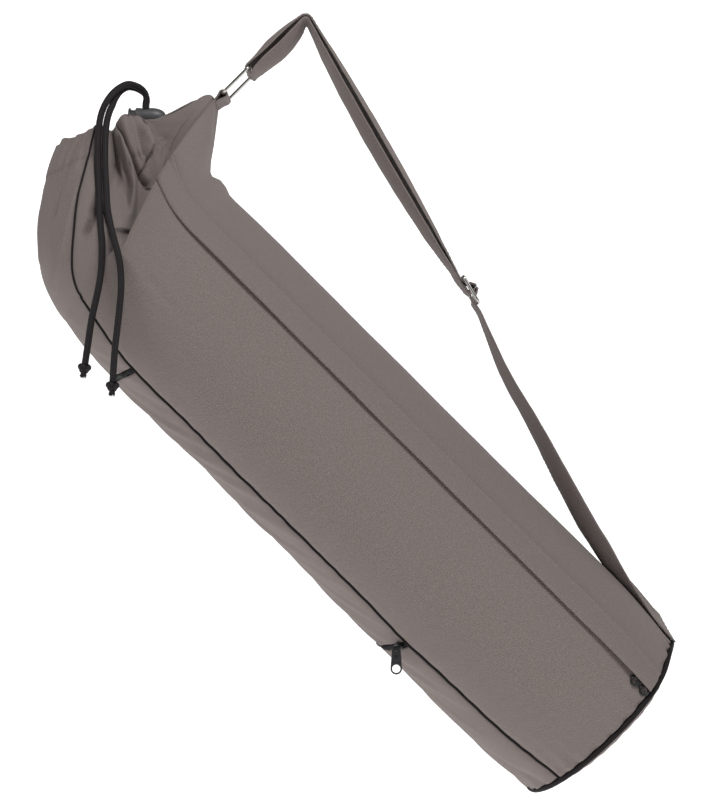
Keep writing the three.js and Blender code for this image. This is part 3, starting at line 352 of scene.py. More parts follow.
# The fold behind the crease: radius of its bends, its depth, the creep of each row where the cloth isn't
# folded, the width of its inner bend as a share of the outer one, and the share of its depth that is left
FOLD_RADIUS = 1.7
FOLD_DEPTH = 13.0
FOLD_CREEP = 0.4
TUCK = 3.6
FOLD_LEFT = 0.45
FOLD_ROWS, COLLAR_ROWS, HEM_ROWS = 14, 60, 9


def upper_wrap(turn: float) -> float:
    """Return the angle between -175 and 185 that stands for a turn."""
    return turn - 360 if turn > 185 else turn


@lru_cache(maxsize=None)
def edge_frame(turn: float) -> tuple[Vector, Vector, Vector]:
    """Find the crease or level edge at an angle.

    Args:
        turn: The angle round the tube.

    Returns:
        The edge's point, the cloth's upward direction there and its outward direction.
    """
    edge = BAG.plain(turn, BAG.length)
    below = BAG.plain(turn, BAG.length - 6)
    upward = (edge - below).normalized()
    outward = around(turn, 1, 0)
    outward = (outward - upward * outward.dot(upward)).normalized()
    return edge, upward, outward


def fold_point(turn: float, step: float) -> Vector:
    """Return a point of the fold behind the crease, for a step of 0 to 1 through it."""
    edge, upward, outward = edge_frame(turn)
    strength = BAG.folded(turn)
    radius = FOLD_RADIUS * strength
    depth = FOLD_DEPTH * strength
    creep = upward * FOLD_CREEP * FOLD_ROWS * step * (1 - strength)
    if step < 0.35:
        bend = math.pi * step / 0.35
        spot = upward * radius * math.sin(bend) - outward * radius * (1 - math.cos(bend))
    elif step < 0.6:
        spot = -outward * 2 * radius - upward * depth * (step - 0.35) / 0.25
    elif step < 0.85:
        bend = math.pi * (step - 0.6) / 0.25
        inward = 2 * radius + TUCK * radius * (1 - math.cos(bend))
        spot = -outward * inward - upward * (depth + TUCK * radius * math.sin(bend))
    else:
        rise = 1 - (1 - FOLD_LEFT) * (step - 0.85) / 0.15
        spot = -outward * (2 + 2 * TUCK) * radius - upward * depth * rise
    return edge + spot + creep


def collar_line(turn: float, share: float) -> Vector:
    """Return a point of the collar without its gathers."""
    start = fold_point(turn, 1.0)
    lower = 0.5 - 0.5 * math.tanh((math.sin(math.radians(turn)) + 0.05) * 4)
    sink = edge_frame(turn)[2] * -17.0 * BAG.folded(turn) * (1 - BAG.tail(turn))
    guide = start + Vector((0, 0, lerp(8, 57, lower))) + sink
    return start * (1 - share) ** 2 + guide * 2 * share * (1 - share) + BAG.rim(turn) * share**2


@dataclass(frozen=True)
class Fold:
    """One fold of the collar's front, drawn as a line of (angle, share) with a height and a width."""

    line: tuple[tuple[float, float], ...]
    height: float
    width: float

    def at(self, turn: float, share: float) -> float:
        """Height of the fold at a spot of the collar."""
        x, y = turn * DEGREE_MM, share * COLLAR_MM
        nearest = 1e9
        for (turn_a, share_a), (turn_b, share_b) in zip(self.line, self.line[1:]):
            ax, ay = turn_a * DEGREE_MM, share_a * COLLAR_MM
            dx, dy = turn_b * DEGREE_MM - ax, share_b * COLLAR_MM - ay
            along_it = clamp(((x - ax) * dx + (y - ay) * dy) / (dx * dx + dy * dy))
            nearest = min(nearest, math.hypot(x - ax - dx * along_it, y - ay - dy * along_it))
        return self.height * math.exp(-((nearest / self.width) ** 2))


# Millimetres of a degree round the collar and of its whole height, where folds are drawn
DEGREE_MM, COLLAR_MM = 1.15, 105.0
# Folds of the front as the photograph shows them: a minus height is a valley
FRONT_FOLDS = (
    Fold(((12, 0.97), (9, 0.86), (5, 0.74), (0, 0.58), (-6, 0.44)), -9.0, 3.2),
    Fold(((-3, 0.46), (-8, 0.38), (-14, 0.3)), -7.0, 3.0),
    Fold(((17, 0.92), (20, 0.76), (18, 0.62), (11, 0.5), (5, 0.38), (2, 0.24)), 8.5, 5.5),
    Fold(((20, 0.99), (23.5, 0.85), (26.5, 0.7), (28, 0.56), (31, 0.36)), -8.5, 2.6),
    Fold(((56, 0.97), (54, 0.85), (50, 0.66), (36, 0.56), (28, 0.56)), -6.0, 2.4),
    Fold(((46, 0.86), (46, 0.74), (44, 0.66)), 9.5, 6.0),
    Fold(((50, 0.5), (45, 0.4), (42, 0.25)), 3.5, 7.0),
    Fold(((24, 0.97), (36, 0.98), (48, 0.97)), 3.5, 8.0),
    Fold(((-15, 0.62), (-20, 0.5), (-27, 0.38), (-40, 0.25), (-56, 0.18)), 2.8, 3.0),
    Fold(((-24, 0.99), (-27, 0.84), (-36, 0.6)), -4.5, 4.0),
    Fold(((-14, 0.97), (-17, 0.8)), 3.2, 4.0),
    Fold(((-46, 0.96), (-52, 0.7), (-66, 0.45)), 3.2, 8.0),
    Fold(((-4, 0.05), (8, 0.1), (20, 0.12), (34, 0.12), (50, 0.12), (62, 0.12)), -4.0, 8.0),
)
# Slack cloth over the right cord's exit at the back
BACK_BULGE = Fold(((137, 0.88), (137, 0.7)), 7.0, 7.0)


@lru_cache(maxsize=None)
def collar_length(step: int) -> float:
    """Length of the collar from the crease to the rim at every fifth degree."""
    points = [collar_line(step * 5.0, i / 12) for i in range(13)]
    return sum((b - a).length for a, b in zip(points, points[1:]))


def collar_point(turn: float, share: float) -> Vector:
    """Return a point of the gathered collar, with its drawstring channel below the rim."""
    low = math.floor(turn / 5)
    length = lerp(collar_length(low), collar_length(low + 1), turn / 5 - low)
    below = (1 - share) * length
    swell = 1.4 * math.sin(math.pi * clamp(below / BAG.channel)) - 0.9 * hump(below, BAG.channel, 1.6)
    pucker = 0.7 * math.exp(-(((below - BAG.channel) / 7) ** 2)) * math.sin(math.radians(73 * turn))
    slack = 2.2 * ring_noise(turn, 24, share * 3.1, 5) * math.sin(math.pi * share)
    lower = 0.5 - 0.5 * math.tanh((math.sin(math.radians(turn)) + 0.05) * 4)
    slack += BAG.bulge * lower * hump(share, 0.73, 0.25)
    if -85 < turn < 75:
        slack += sum(fold.at(turn, share) for fold in FRONT_FOLDS) * smooth(share, 0, 0.04)
    slack += BACK_BULGE.at(turn, share)
    stand = BAG.folds(turn, share) + (swell + pucker) * (1 - 0.5 * BAG.tail(turn)) + slack
    height = (1.6 * ring_noise(turn, 17, 4) + 1.1 * math.cos(math.radians(12 * turn))) * share**3
    return collar_line(turn, share) + BAG.mouth_out(turn) * stand + BAG.mouth_up() * height


def hem_point(turn: float, step: float) -> Vector:
    """Return a point of the hem that rolls over the rim and down inside the channel."""
    rim = collar_point(turn, 1.0)
    out, up = BAG.mouth_out(turn), BAG.mouth_up()
    roll = 1.3
    if step < 0.4:
        bend = math.pi * step / 0.4
        return rim + up * roll * math.sin(bend) - out * roll * (1 - math.cos(bend))
    inside = 1 - (step - 0.4) / 0.6 * 0.2
    return collar_point(turn, inside) - out * 2 * roll


def cloth(turn: float, zone: Zone, value: float) -> Vector:
    """Return a point of the bag's cloth in its own frame.

    Args:
        turn: The angle round the tube.
        zone: The stretch of cloth.
        value: A height in millimetres on the tube, and otherwise a share of the stretch.

    Returns:
        The point, in millimetres.
    """
    wrapped = upper_wrap(turn)
    if zone is Zone.TUBE:
        spot = BAG.plain(wrapped, value)
        return spot + around(wrapped, BAG.relief(wrapped, value), 0)
    if zone is Zone.FOLD:
        join = around(wrapped, BAG.relief(wrapped, BAG.length), 0) * (1 - value)
        return fold_point(wrapped, value) + join
    if zone is Zone.COLLAR:
        return collar_point(wrapped, value)
    return hem_point(wrapped, value)


def seam_turn(side: int, zone: Zone, value: float) -> float:
    """Return the angle of a side seam anywhere along the cloth."""
    middle = BAG.front_seam if side > 0 else BAG.back_seam
    if zone is Zone.TUBE:
        return BAG.seam(side, value)
    if zone is Zone.FOLD:
        return middle + side * lerp(BAG.wander[-1][1], eased(BAG.collar_seam, 0, 0.15), value)
    share = value if zone is Zone.COLLAR else 1.0
    return middle + side * eased(BAG.collar_seam, share, 0.15)


def outward_at(turn: float, zone: Zone, value: float) -> Vector:
    """Return the cloth's outward direction at a spot, in the bag's frame."""
    step = 2.0 if zone is Zone.TUBE else 0.02
    limit = BAG.length if zone is Zone.TUBE else 1.0
    low, high = max(value - step, 0), min(value + step, limit)
    rise = cloth(turn, zone, high) - cloth(turn, zone, low)
    round_ = cloth(turn + 0.6, zone, value) - cloth(turn - 0.6, zone, value)
    return round_.cross(rise).normalized()


# Meshes


def add_uv(bm: bmesh.types.BMesh, spots: dict[int, tuple[float, float]]) -> None:
    """Give a mesh a UV map, in metres along its surface.

    Args:
        bm: The mesh.
        spots: For each vertex index, its place on the map.
    """
    layer = bm.loops.layers.uv.verify()
    for face in bm.faces:
        for loop in face.loops:
            loop[layer].uv = spots[loop.vert.index]


def grid_mesh(columns: int, rows: int, place: Callable[[int, int], Vector]) -> bmesh.types.BMesh:
    """Lay a grid of faces over a surface, with a UV map measured along it.

    Args:
        columns: Corners across.
        rows: Corners along.
        place: Gives the scene point of a column and a row.

    Returns:
        The mesh, its faces pointing the way the grid's own normal points.
    """
    bm = bmesh.new()
    bmesh.ops.create_grid(bm, x_segments=columns - 1, y_segments=rows - 1, size=1.0)
    bm.verts.ensure_lookup_table()
    spots: dict[tuple[int, int], bmesh.types.BMVert] = {}
    for vert in bm.verts:
        column = round((vert.co.x + 1) / 2 * (columns - 1))
        row = round((vert.co.y + 1) / 2 * (rows - 1))
        spots[column, row] = vert
    for (column, row), vert in spots.items():
        vert.co = place(column, row)
    middle = rows // 2
    across = [0.0]
    for column in range(1, columns):
        across.append(across[-1] + (spots[column, middle].co - spots[column - 1, middle].co).length)
    chart: dict[int, tuple[float, float]] = {}
    for column in range(columns):
        run = 0.0
        for row in range(rows):
            if row:
                run += (spots[column, row].co - spots[column, row - 1].co).length
            chart[spots[column, row].index] = (across[column], run)
    add_uv(bm, chart)
    return bm


def face_outwards(bm: bmesh.types.BMesh, centre: Vector) -> None:
    """Turn a sheet's faces over if most of them face a point that lies inside."""
    bm.normal_update()
    votes = sum(1 if face.normal.dot(face.calc_center_median() - centre) > 0 else -1 for face in bm.faces)
    if votes < 0:
        bmesh.ops.reverse_faces(bm, faces=bm.faces)


def sweep_mesh(
    points: Sequence[Vector],
    radius: Radius,
    sides: int,
    closed: bool = False,
) -> bmesh.types.BMesh:
    """Carry a round section along a line, with a UV map round and along it.

    Args:
        points: The line, in the scene.
        radius: Gives the radius in metres at a share of the line and a share of the turn.
        sides: Corners of the section.
        closed: Whether the line closes on itself.

    Returns:
        The closed mesh, facing outwards.
    """
    count = len(points)
    frames: list[tuple[Vector, Vector, Vector]] = []
    normal = Vector((0, 0, 0))
    for i, point in enumerate(points):
        before = points[i - 1] if i or closed else point
        after = points[(i + 1) % count] if i + 1 < count or closed else point
        ahead = (after - before).normalized()
        if not frames:
            normal = ahead.orthogonal().normalized()
        else:
            turn = frames[-1][2].rotation_difference(ahead)
            normal = (turn @ normal).normalized()
        frames.append((normal.copy(), ahead.cross(normal), ahead))
    twist = 0.0
    if closed:
        last = frames[-1][2].rotation_difference(frames[0][2]) @ frames[-1][0]
        twist = math.atan2(last.dot(frames[0][1]), last.dot(frames[0][0]))
    rows = count + 1 if closed else count

    def place(column: int, row: int) -> Vector:
        """Place a corner of the section."""
        i = row % count
        right, up, _ = frames[i]
        angle = 2 * math.pi * column / sides - (twist * row / count if closed else 0)
        reach = radius(row / (rows - 1), column / sides)
        return points[i] + (right * math.cos(angle) + up * math.sin(angle)) * reach

    bm = grid_mesh(sides + 1, rows, place)
    bmesh.ops.remove_doubles(bm, verts=bm.verts, dist=1e-6)
    if not closed:
        bmesh.ops.holes_fill(bm, edges=bm.edges, sides=sides + 1)
    bmesh.ops.recalc_face_normals(bm, faces=bm.faces)
    return bm


def running(points: Sequence[Vector]) -> list[float]:
    """Return the length of a line up to each of its points."""
    lengths = [0.0]
    for a, b in zip(points, points[1:]):
        lengths.append(lengths[-1] + (b - a).length)
    return lengths


def even(radius_mm: float) -> Radius:
    """Return the section of a round wire of one radius."""
    return lambda share, turn: radius_mm * MM


def stepped(radii_mm: Sequence[float]) -> Radius:
    """Return the section of a round piece with a radius for each of its evenly numbered rows."""
    return lambda share, turn: radii_mm[round(share * (len(radii_mm) - 1))] * MM


def spline(points: Sequence[Vector], step: float, closed: bool = False) -> list[Vector]:
    """Run a smooth line through points, with corners a step apart.

    Args:
        points: The points to pass.
        step: The distance between the line's corners, in the points' own unit.
        closed: Whether the line returns to its start.

    Returns:
        The corners of the line.
    """
    count = len(points)
    dense: list[Vector] = []
    spans = count if closed else count - 1
    for i in range(spans):
        a = points[i - 1] if i or closed else points[0] * 2 - points[1]
        b, c = points[i], points[(i + 1) % count]
        d = points[(i + 2) % count] if closed or i + 2 < count else c * 2 - b
        for k in range(12):
            s = k / 12
            square = 2 * a - 5 * b + 4 * c - d
            cube = 3 * b - a - 3 * c + d
            dense.append(0.5 * (2 * b + (c - a) * s + square * s**2 + cube * s**3))
    dense.append(points[0].copy() if closed else points[-1].copy())
    lengths = running(dense)
    total = max(2, round(lengths[-1] / step))
    line: list[Vector] = []
    k = 0
    for i in range(total + (0 if closed else 1)):
        want = lengths[-1] * i / total
        while k + 2 < len(lengths) and lengths[k + 1] < want:
            k += 1
        share = (want - lengths[k]) / max(lengths[k + 1] - lengths[k], 1e-9)
        line.append(dense[k].lerp(dense[k + 1], clamp(share)))
    return line


def turned_sheet(rows: Sequence[tuple[float, float]], sides: int) -> bmesh.types.BMesh:
    """Spin an open profile round the Z axis into a round sheet."""
    bm = bmesh.new()
    verts = [bm.verts.new((radius, 0, height)) for radius, height in rows]
    edges = [bm.edges.new(pair) for pair in zip(verts, verts[1:])]
    geom = verts + edges
    turn = 2 * math.pi
    bmesh.ops.spin(bm, geom=geom, axis=(0, 0, 1), cent=(0, 0, 0), angle=turn, steps=sides, use_merge=True)
    bmesh.ops.remove_doubles(bm, verts=bm.verts, dist=1e-6)
    bm.verts.index_update()
    return bm


def turned_mesh(rows: Sequence[tuple[float, float]], sides: int) -> bmesh.types.BMesh:
    """Spin a profile of (radius, height) rows round the Z axis.

    Args:
        rows: The profile in metres, from one end on the axis to the other.
        sides: Steps of the full turn.

    Returns:
        The closed mesh, facing outwards.
    """
    bm = turned_sheet(rows, sides)
    bmesh.ops.recalc_face_normals(bm, faces=bm.faces)
    return bm


def stitch_mesh(spots: Sequence[Spot], length: float, width: float) -> bmesh.types.BMesh:
    """Make a row of short stitches.

    Args:
        spots: For each stitch, its place, the direction of the row and the cloth's outward direction.
        length: Length of a stitch, in metres.
        width: Thickness of the thread, in metres.

    Returns:
        One mesh of all the stitches.
    """
    bm = bmesh.new()
    for spot, ahead, out in spots:
        ahead = ahead.normalized()
        side = ahead.cross(out).normalized()
        basis = Matrix((ahead * length / 2, side * width / 2, out.normalized() * width / 2)).transposed()
        place = Matrix.Translation(spot) @ basis.to_4x4()
        bmesh.ops.create_icosphere(bm, subdivisions=1, radius=1.0, matrix=place)
    return bm


def join_meshes(meshes: Sequence[bmesh.types.BMesh]) -> bmesh.types.BMesh:
    """Put several meshes into the first one and free the others."""
    whole = meshes[0]
    for other in meshes[1:]:
        data = bpy.data.meshes.new("joining")
        other.to_mesh(data)
        whole.from_mesh(data)
        bpy.data.meshes.remove(data)
        other.free()
    return whole


@dataclass(frozen=True)
class Dress:
    """What a finished piece wears and what it stands for."""

    material: bpy.types.Material
    slot: Slot
    body: Body = Body.BAG
    nodes: tuple[str, ...] = ()
    thickness: float = 0.0
    offset: float = -1.0
    rounding: float = 0.0
    subdivide: int = 0


def add_piece(name: str, bm: bmesh.types.BMesh, dress: Dress) -> bpy.types.Object:
    """Turn a mesh into a piece of the object.

    Args:
        name: The piece's name.
        bm: Its mesh, in place. It is freed.
        dress: Its material, slot, body and finishing modifiers.

    Returns:
        The new object, riding on its body.
    """
    for face in bm.faces:
        face.smooth = True
    data = bpy.data.meshes.new(name)
    bm.to_mesh(data)
    bm.free()
    data.materials.append(dress.material)
    piece = bpy.data.objects.new(name, data)
    bpy.context.scene.collection.objects.link(piece)
    if dress.rounding:
        bevel = piece.modifiers.new("rounding", "BEVEL")
        bevel.width = dress.rounding
        bevel.segments = 3
        bevel.limit_method = "ANGLE"
        bevel.harden_normals = True
    if dress.thickness:
        solid = piece.modifiers.new("cloth", "SOLIDIFY")
        solid.thickness = dress.thickness
        solid.offset = dress.offset
    if dress.subdivide:
        finer = piece.modifiers.new("finer", "SUBSURF")
        finer.levels = dress.subdivide
        finer.render_levels = dress.subdivide
    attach(piece, dress.body.value)
    if dress.nodes:
        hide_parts(*dress.nodes)
    log.info("%s: %d faces", name, len(data.polygons))
    return piece


# Finishes


def linear(code: str) -> tuple[float, float, float, float]:
    """Turn an sRGB hex value into linear red, green, blue and alpha."""
    parts = [int(code[i : i + 2], 16) / 255 for i in (1, 3, 5)]
    red, green, blue = (p / 12.92 if p <= 0.04045 else ((p + 0.055) / 1.055) ** 2.4 for p in parts)
    return red, green, blue, 1.0


def add_node(
    tree: bpy.types.NodeTree,
    kind: str,
    settings: dict[str, object] | None = None,
    inputs: dict[str | int, object] | None = None,
) -> bpy.types.Node:
    """Add a shader node.

    Args:
        tree: The node tree.
        kind: The node's type name.
        settings: Properties of the node.
        inputs: For each input socket, a value or the output socket linked to it.

    Returns:
        The node.
    """
    made = tree.nodes.new(kind)
    for key, value in (settings or {}).items():
        setattr(made, key, value)
    for key, value in (inputs or {}).items():
        if isinstance(value, bpy.types.NodeSocket):
            tree.links.new(value, made.inputs[key])
        else:
            made.inputs[key].default_value = value
    return made


def new_material(name: str) -> tuple[bpy.types.Material, bpy.types.NodeTree, bpy.types.Node]:
    """Make an empty node material and return it with its tree and its shader."""
    material = bpy.data.materials.new(name)
    material.use_nodes = True
    tree = material.node_tree
    shader = tree.nodes["Principled BSDF"]
    return material, tree, shader


@dataclass(frozen=True)
class Twill:
    """Cotton canvas twill, dyed in the piece: matt, with a faint diagonal rib and slubs in the yarn."""

    name: str = "dyed cotton canvas twill"
    colour: str = "#7b716e"
    shade: str = "#746a67"
    light: str = "#817773"
    rib_pitch_mm: float = 1.9
    slub_mm: float = 1.9
    fade_mm: float = 60.0
    roughness: float = 0.92
    sheen: float = 0.06
    relief_mm: float = 0.16

    def build(self) -> bpy.types.Material:
        """Make the material.

        The real rib is about 0.7 mm wide, too fine for the render, so it is drawn nearly three times as
        coarse. The eye sees a faint diagonal grain and no gloss.
        """
        material, tree, shader = new_material(self.name)
        chart = add_node(tree, "ShaderNodeTexCoord").outputs["UV"]
        split = add_node(tree, "ShaderNodeSeparateXYZ", inputs={0: chart})
        turn = 2 * math.pi / (self.rib_pitch_mm * MM)
        times, plus, sine = {"operation": "MULTIPLY"}, {"operation": "MULTIPLY_ADD"}, {"operation": "SINE"}
        east, north = split.outputs["X"], split.outputs["Y"]
        slant = add_node(tree, "ShaderNodeMath", plus, {0: north, 1: 0.62, 2: east})
        phase = add_node(tree, "ShaderNodeMath", times, {0: slant.outputs[0], 1: turn})
        rib = add_node(tree, "ShaderNodeMath", sine, {0: phase.outputs[0]})
        cross = add_node(tree, "ShaderNodeMath", times, {0: north, 1: turn * 1.3})
        yarn = add_node(tree, "ShaderNodeMath", sine, {0: cross.outputs[0]})
        weave = add_node(tree, "ShaderNodeMath", plus, {0: yarn.outputs[0], 1: 0.45, 2: rib.outputs[0]})
        slubs = add_node(
            tree,
            "ShaderNodeTexNoise",
            inputs={"Vector": chart, "Scale": 1 / (self.slub_mm * MM), "Detail": 3.0, "Roughness": 0.65},
        )
        place = add_node(tree, "ShaderNodeTexCoord").outputs["Object"]
        fade = add_node(
            tree,
            "ShaderNodeTexNoise",
            inputs={"Vector": place, "Scale": 1 / (self.fade_mm * MM), "Detail": 3.0, "Roughness": 0.55},
        )
        grain = add_node(
            tree,
            "ShaderNodeMapRange",
            inputs={"Value": slubs.outputs["Fac"], "From Min": 0.3, "From Max": 0.7},
        )
        first = add_node(
            tree,
            "ShaderNodeMix",
            {"data_type": "RGBA"},
            {0: grain.outputs[0], 6: linear(self.shade), 7: linear(self.light)},
        )
        worn = add_node(
            tree,
            "ShaderNodeMapRange",
            inputs={"Value": fade.outputs["Fac"], "From Min": 0.35, "From Max": 0.7, "To Max": 0.55},
        )
        tone = add_node(
            tree,
            "ShaderNodeMix",
            {"data_type": "RGBA"},
            {0: worn.outputs[0], 6: first.outputs[2], 7: linear(self.colour)},
        )
        tree.links.new(tone.outputs[2], shader.inputs["Base Color"])
        fine = add_node(
            tree,
            "ShaderNodeBump",
            inputs={"Height": weave.outputs[0], "Strength": 0.35, "Distance": self.relief_mm * MM},
        )
        coarse = add_node(
            tree,
            "ShaderNodeBump",
            inputs={
                "Height": slubs.outputs["Fac"],
                "Strength": 0.55,
                "Distance": 1.6 * self.relief_mm * MM,
                "Normal": fine.outputs[0],
            },
        )
        tree.links.new(coarse.outputs[0], shader.inputs["Normal"])
        shader.inputs["Roughness"].default_value = self.roughness
        shader.inputs["Sheen Weight"].default_value = self.sheen
        shader.inputs["Sheen Roughness"].default_value = 0.5
        shader.inputs["Specular IOR Level"].default_value = 0.25
        return material


@dataclass(frozen=True)
class Braid:
    """Braided polyester, as on a drawcord or bias tape: near black, with a paler colour painted on the crown
    of each strand as a painted highlight.
    """

    name: str = "braided polyester drawcord"
    colour: str = "#151315"
    # Painted highlight: the paler colour laid on the crown of each strand
    light: str = "#2b2729"
    strands: int = 8
    pitch_mm: float = 5.2
    girth_mm: float = 16.3
    roughness: float = 0.62
    relief_mm: float = 0.35

    def build(self) -> bpy.types.Material:
        """Make the material: two families of slanted waves cross each other round the cord, and their crowns
        are painted in the paler colour as a painted highlight.
        """
        material, tree, shader = new_material(self.name)
        chart = add_node(tree, "ShaderNodeTexCoord").outputs["UV"]
        split = add_node(tree, "ShaderNodeSeparateXYZ", inputs={0: chart})
        turn = 2 * math.pi * self.strands / 2 / (self.girth_mm * MM)
        lead = 2 * math.pi / (self.pitch_mm * MM)
        round_ = add_node(tree, "ShaderNodeMath", {"operation": "MULTIPLY"}, {0: split.outputs["X"], 1: turn})
        waves = []
        for side in (1, -1):
            wave = {0: split.outputs["Y"], 1: side * lead, 2: round_.outputs[0]}
            phase = add_node(tree, "ShaderNodeMath", {"operation": "MULTIPLY_ADD"}, wave)
            sine = add_node(tree, "ShaderNodeMath", {"operation": "SINE"}, {0: phase.outputs[0]})
            waves.append(sine.outputs[0])
        strand = add_node(tree, "ShaderNodeMath", {"operation": "MULTIPLY"}, {0: waves[0], 1: waves[1]})
        span = {"Value": strand.outputs[0], "From Min": -1.0, "From Max": 1.0}
        share = add_node(tree, "ShaderNodeMapRange", inputs=span)
        # Painted highlight: the colour runs from the near black to the paler one over each strand's crown
        tone = add_node(
            tree,
            "ShaderNodeMix",
            {"data_type": "RGBA"},
            {0: share.outputs[0], 6: linear(self.colour), 7: linear(self.light)},
        )
        tree.links.new(tone.outputs[2], shader.inputs["Base Color"])
        bump = add_node(
            tree,
            "ShaderNodeBump",
            inputs={"Height": share.outputs[0], "Strength": 0.7, "Distance": self.relief_mm * MM},
        )
        tree.links.new(bump.outputs[0], shader.inputs["Normal"])
        shader.inputs["Roughness"].default_value = self.roughness
        shader.inputs["Specular IOR Level"].default_value = 0.2
        return material


@dataclass(frozen=True)
class Cast:
    """A hard finish, such as plated steel, enamelled casting or moulded nylon, with faint handling marks."""

    name: str
    colour: str
    roughness: float
    metallic: float = 0.0
    marks_mm: float = 4.0
    relief_mm: float = 0.02
    spread: float = 0.1

    def build(self) -> bpy.types.Material:
        """Make the material: noise varies its roughness and its surface slightly."""
        material, tree, shader = new_material(self.name)
        place = add_node(tree, "ShaderNodeTexCoord").outputs["Object"]
        marks = add_node(
            tree,
            "ShaderNodeTexNoise",
            inputs={"Vector": place, "Scale": 1 / (self.marks_mm * MM), "Detail": 4.0, "Roughness": 0.6},
        )
        rough = add_node(
            tree,
            "ShaderNodeMapRange",
            inputs={
                "Value": marks.outputs["Fac"],
                "From Min": 0.3,
                "From Max": 0.7,
                "To Min": self.roughness - self.spread / 2,
                "To Max": self.roughness + self.spread / 2,
            },
        )
        tree.links.new(rough.outputs[0], shader.inputs["Roughness"])
        bump = add_node(
            tree,
            "ShaderNodeBump",
            inputs={"Height": marks.outputs["Fac"], "Strength": 0.4, "Distance": self.relief_mm * MM},
        )
        tree.links.new(bump.outputs[0], shader.inputs["Normal"])
        shader.inputs["Base Color"].default_value = linear(self.colour)
        shader.inputs["Metallic"].default_value = self.metallic
        return material


@dataclass(frozen=True)
class Finishes:
    """Every material of the bag, made once."""

    canvas: bpy.types.Material = field(default_factory=lambda: Twill().build())
    # Sewing thread: a little paler than the cloth, with a dull gleam
    thread: bpy.types.Material = field(
        default_factory=lambda: Cast("spun polyester sewing thread", "#8d8380", 0.7).build()
    )
    # Bias tape: near black and matt, with cross threads too fine to show, so drawn at 2.4 mm, each with a
    # painted highlight on its crown
    bias: bpy.types.Material = field(
        default_factory=lambda: Braid(
            "woven bias tape over a seam cord", "#171415", "#241f20", 2, 2.4, 10.0, 0.75, 0.12
        ).build()
    )
    # Drawcord: near black braid with a painted highlight on each strand's crown
    cord: bpy.types.Material = field(default_factory=lambda: Braid().build())
    # Zip tape: flat black weave; its threads are drawn at 1.6 mm, each with a painted highlight on its crown
    tape: bpy.types.Material = field(
        default_factory=lambda: Braid("woven zip tape", "#151314", "#201d1e", 6, 1.6, 16.0, 0.8, 0.1).build()
    )
    # Zip coil: smooth plastic with small bright points along the turns
    coil: bpy.types.Material = field(
        default_factory=lambda: Cast("moulded polyester zip coil", "#1b1a1c", 0.42).build()
    )
    # Enamelled casting: black with a sharp but soft-edged gleam
    enamel: bpy.types.Material = field(
        default_factory=lambda: Cast("black enamelled zinc casting", "#1c1b1e", 0.34, 0.25).build()
    )
    # Nickel plate: bright, slightly warm, with long clean reflections
    nickel: bpy.types.Material = field(
        default_factory=lambda: Cast("nickel-plated steel wire", "#bdbab6", 0.24, 1.0, 8.0, 0.006).build()
    )
    # Nylon: dark grey with a satin skin from the mould
    nylon: bpy.types.Material = field(
        default_factory=lambda: Cast("moulded grey nylon", "#4a494b", 0.45, 0.0, 1.2, 0.03).build()
    )


# Routes of the two cords, listed point by point, in millimetres from the middle of the mouth
LEFT_ROUTE = (
    (4.6, -33.6, 101), (4.6, -28, 100.2), (4.6, -22.8, 100.6), (4.6, -16.8, 102.2),
    (4.6, -12.4, 106.6), (4.6, -11.1, 113.6), (4.6, -11.1, 120.6), (4.6, -11.1, 130.6),
    (4.7, -11.1, 135.1), (5.5, -11.8, 140.3), (3.9, -15, 145.4), (-0.8, -22, 148.7),
    (-8, -31, 149.2), (-14.3, -39, 144.7), (-19.5, -46, 138.2), (-24.1, -51, 130.3),
    (-27.6, -54, 121.4), (-29.5, -56, 112), (-30.1, -60, 99), (-29.7, -65, 84.2),
    (-28.6, -71, 67.8), (-26.7, -78, 51.4), (-25.4, -84, 36.4), (-23.8, -89.5, 21.3),
    (-21.9, -93.5, 5.7), (-21.5, -95, -7.1), (-22.5, -94.5, -21.3), (-25.1, -93.5, -36.5),
    (-30.2, -93, -59.2), (-33.6, -93, -81.2), (-36.2, -93, -98.9),
)
RIGHT_ROUTE = (
    (4.6, 33.6, 101), (4.6, 24, 99), (4.6, 14, 98.6), (4.6, 6.8, 100.6),
    (4.6, 0.8, 102.2), (4.6, -3.6, 106.6), (4.6, -4.9, 113.6), (4.6, -4.9, 120.6),
    (4.6, -4.9, 130.6), (4.6, -4.9, 135.1), (5.1, -4.9, 140), (3.7, -7.2, 144.8),
    (-1.7, -12.7, 148), (-8.3, -21.8, 148.2), (-14, -31, 143.7), (-17.9, -39.9, 135.7),
    (-19.9, -47.8, 127), (-21.7, -54, 119.6), (-23.4, -56, 111), (-23.9, -60, 98.6),
    (-23.5, -65, 84.2), (-22.4, -71, 68.1), (-20.5, -78, 51.8), (-18.7, -85, 36.3),
    (-15.6, -90.5, 21.2), (-11.2, -95, 5.6), (-7.4, -98, -7.3), (-5.2, -99.5, -20.1),
    (-4.8, -99.5, -35.2), (-6.2, -99, -52), (-8.3, -98.5, -70.4), (-10.3, -98, -87.2),
    (-12.1, -98, -114.2),
)


# Pieces of the bag


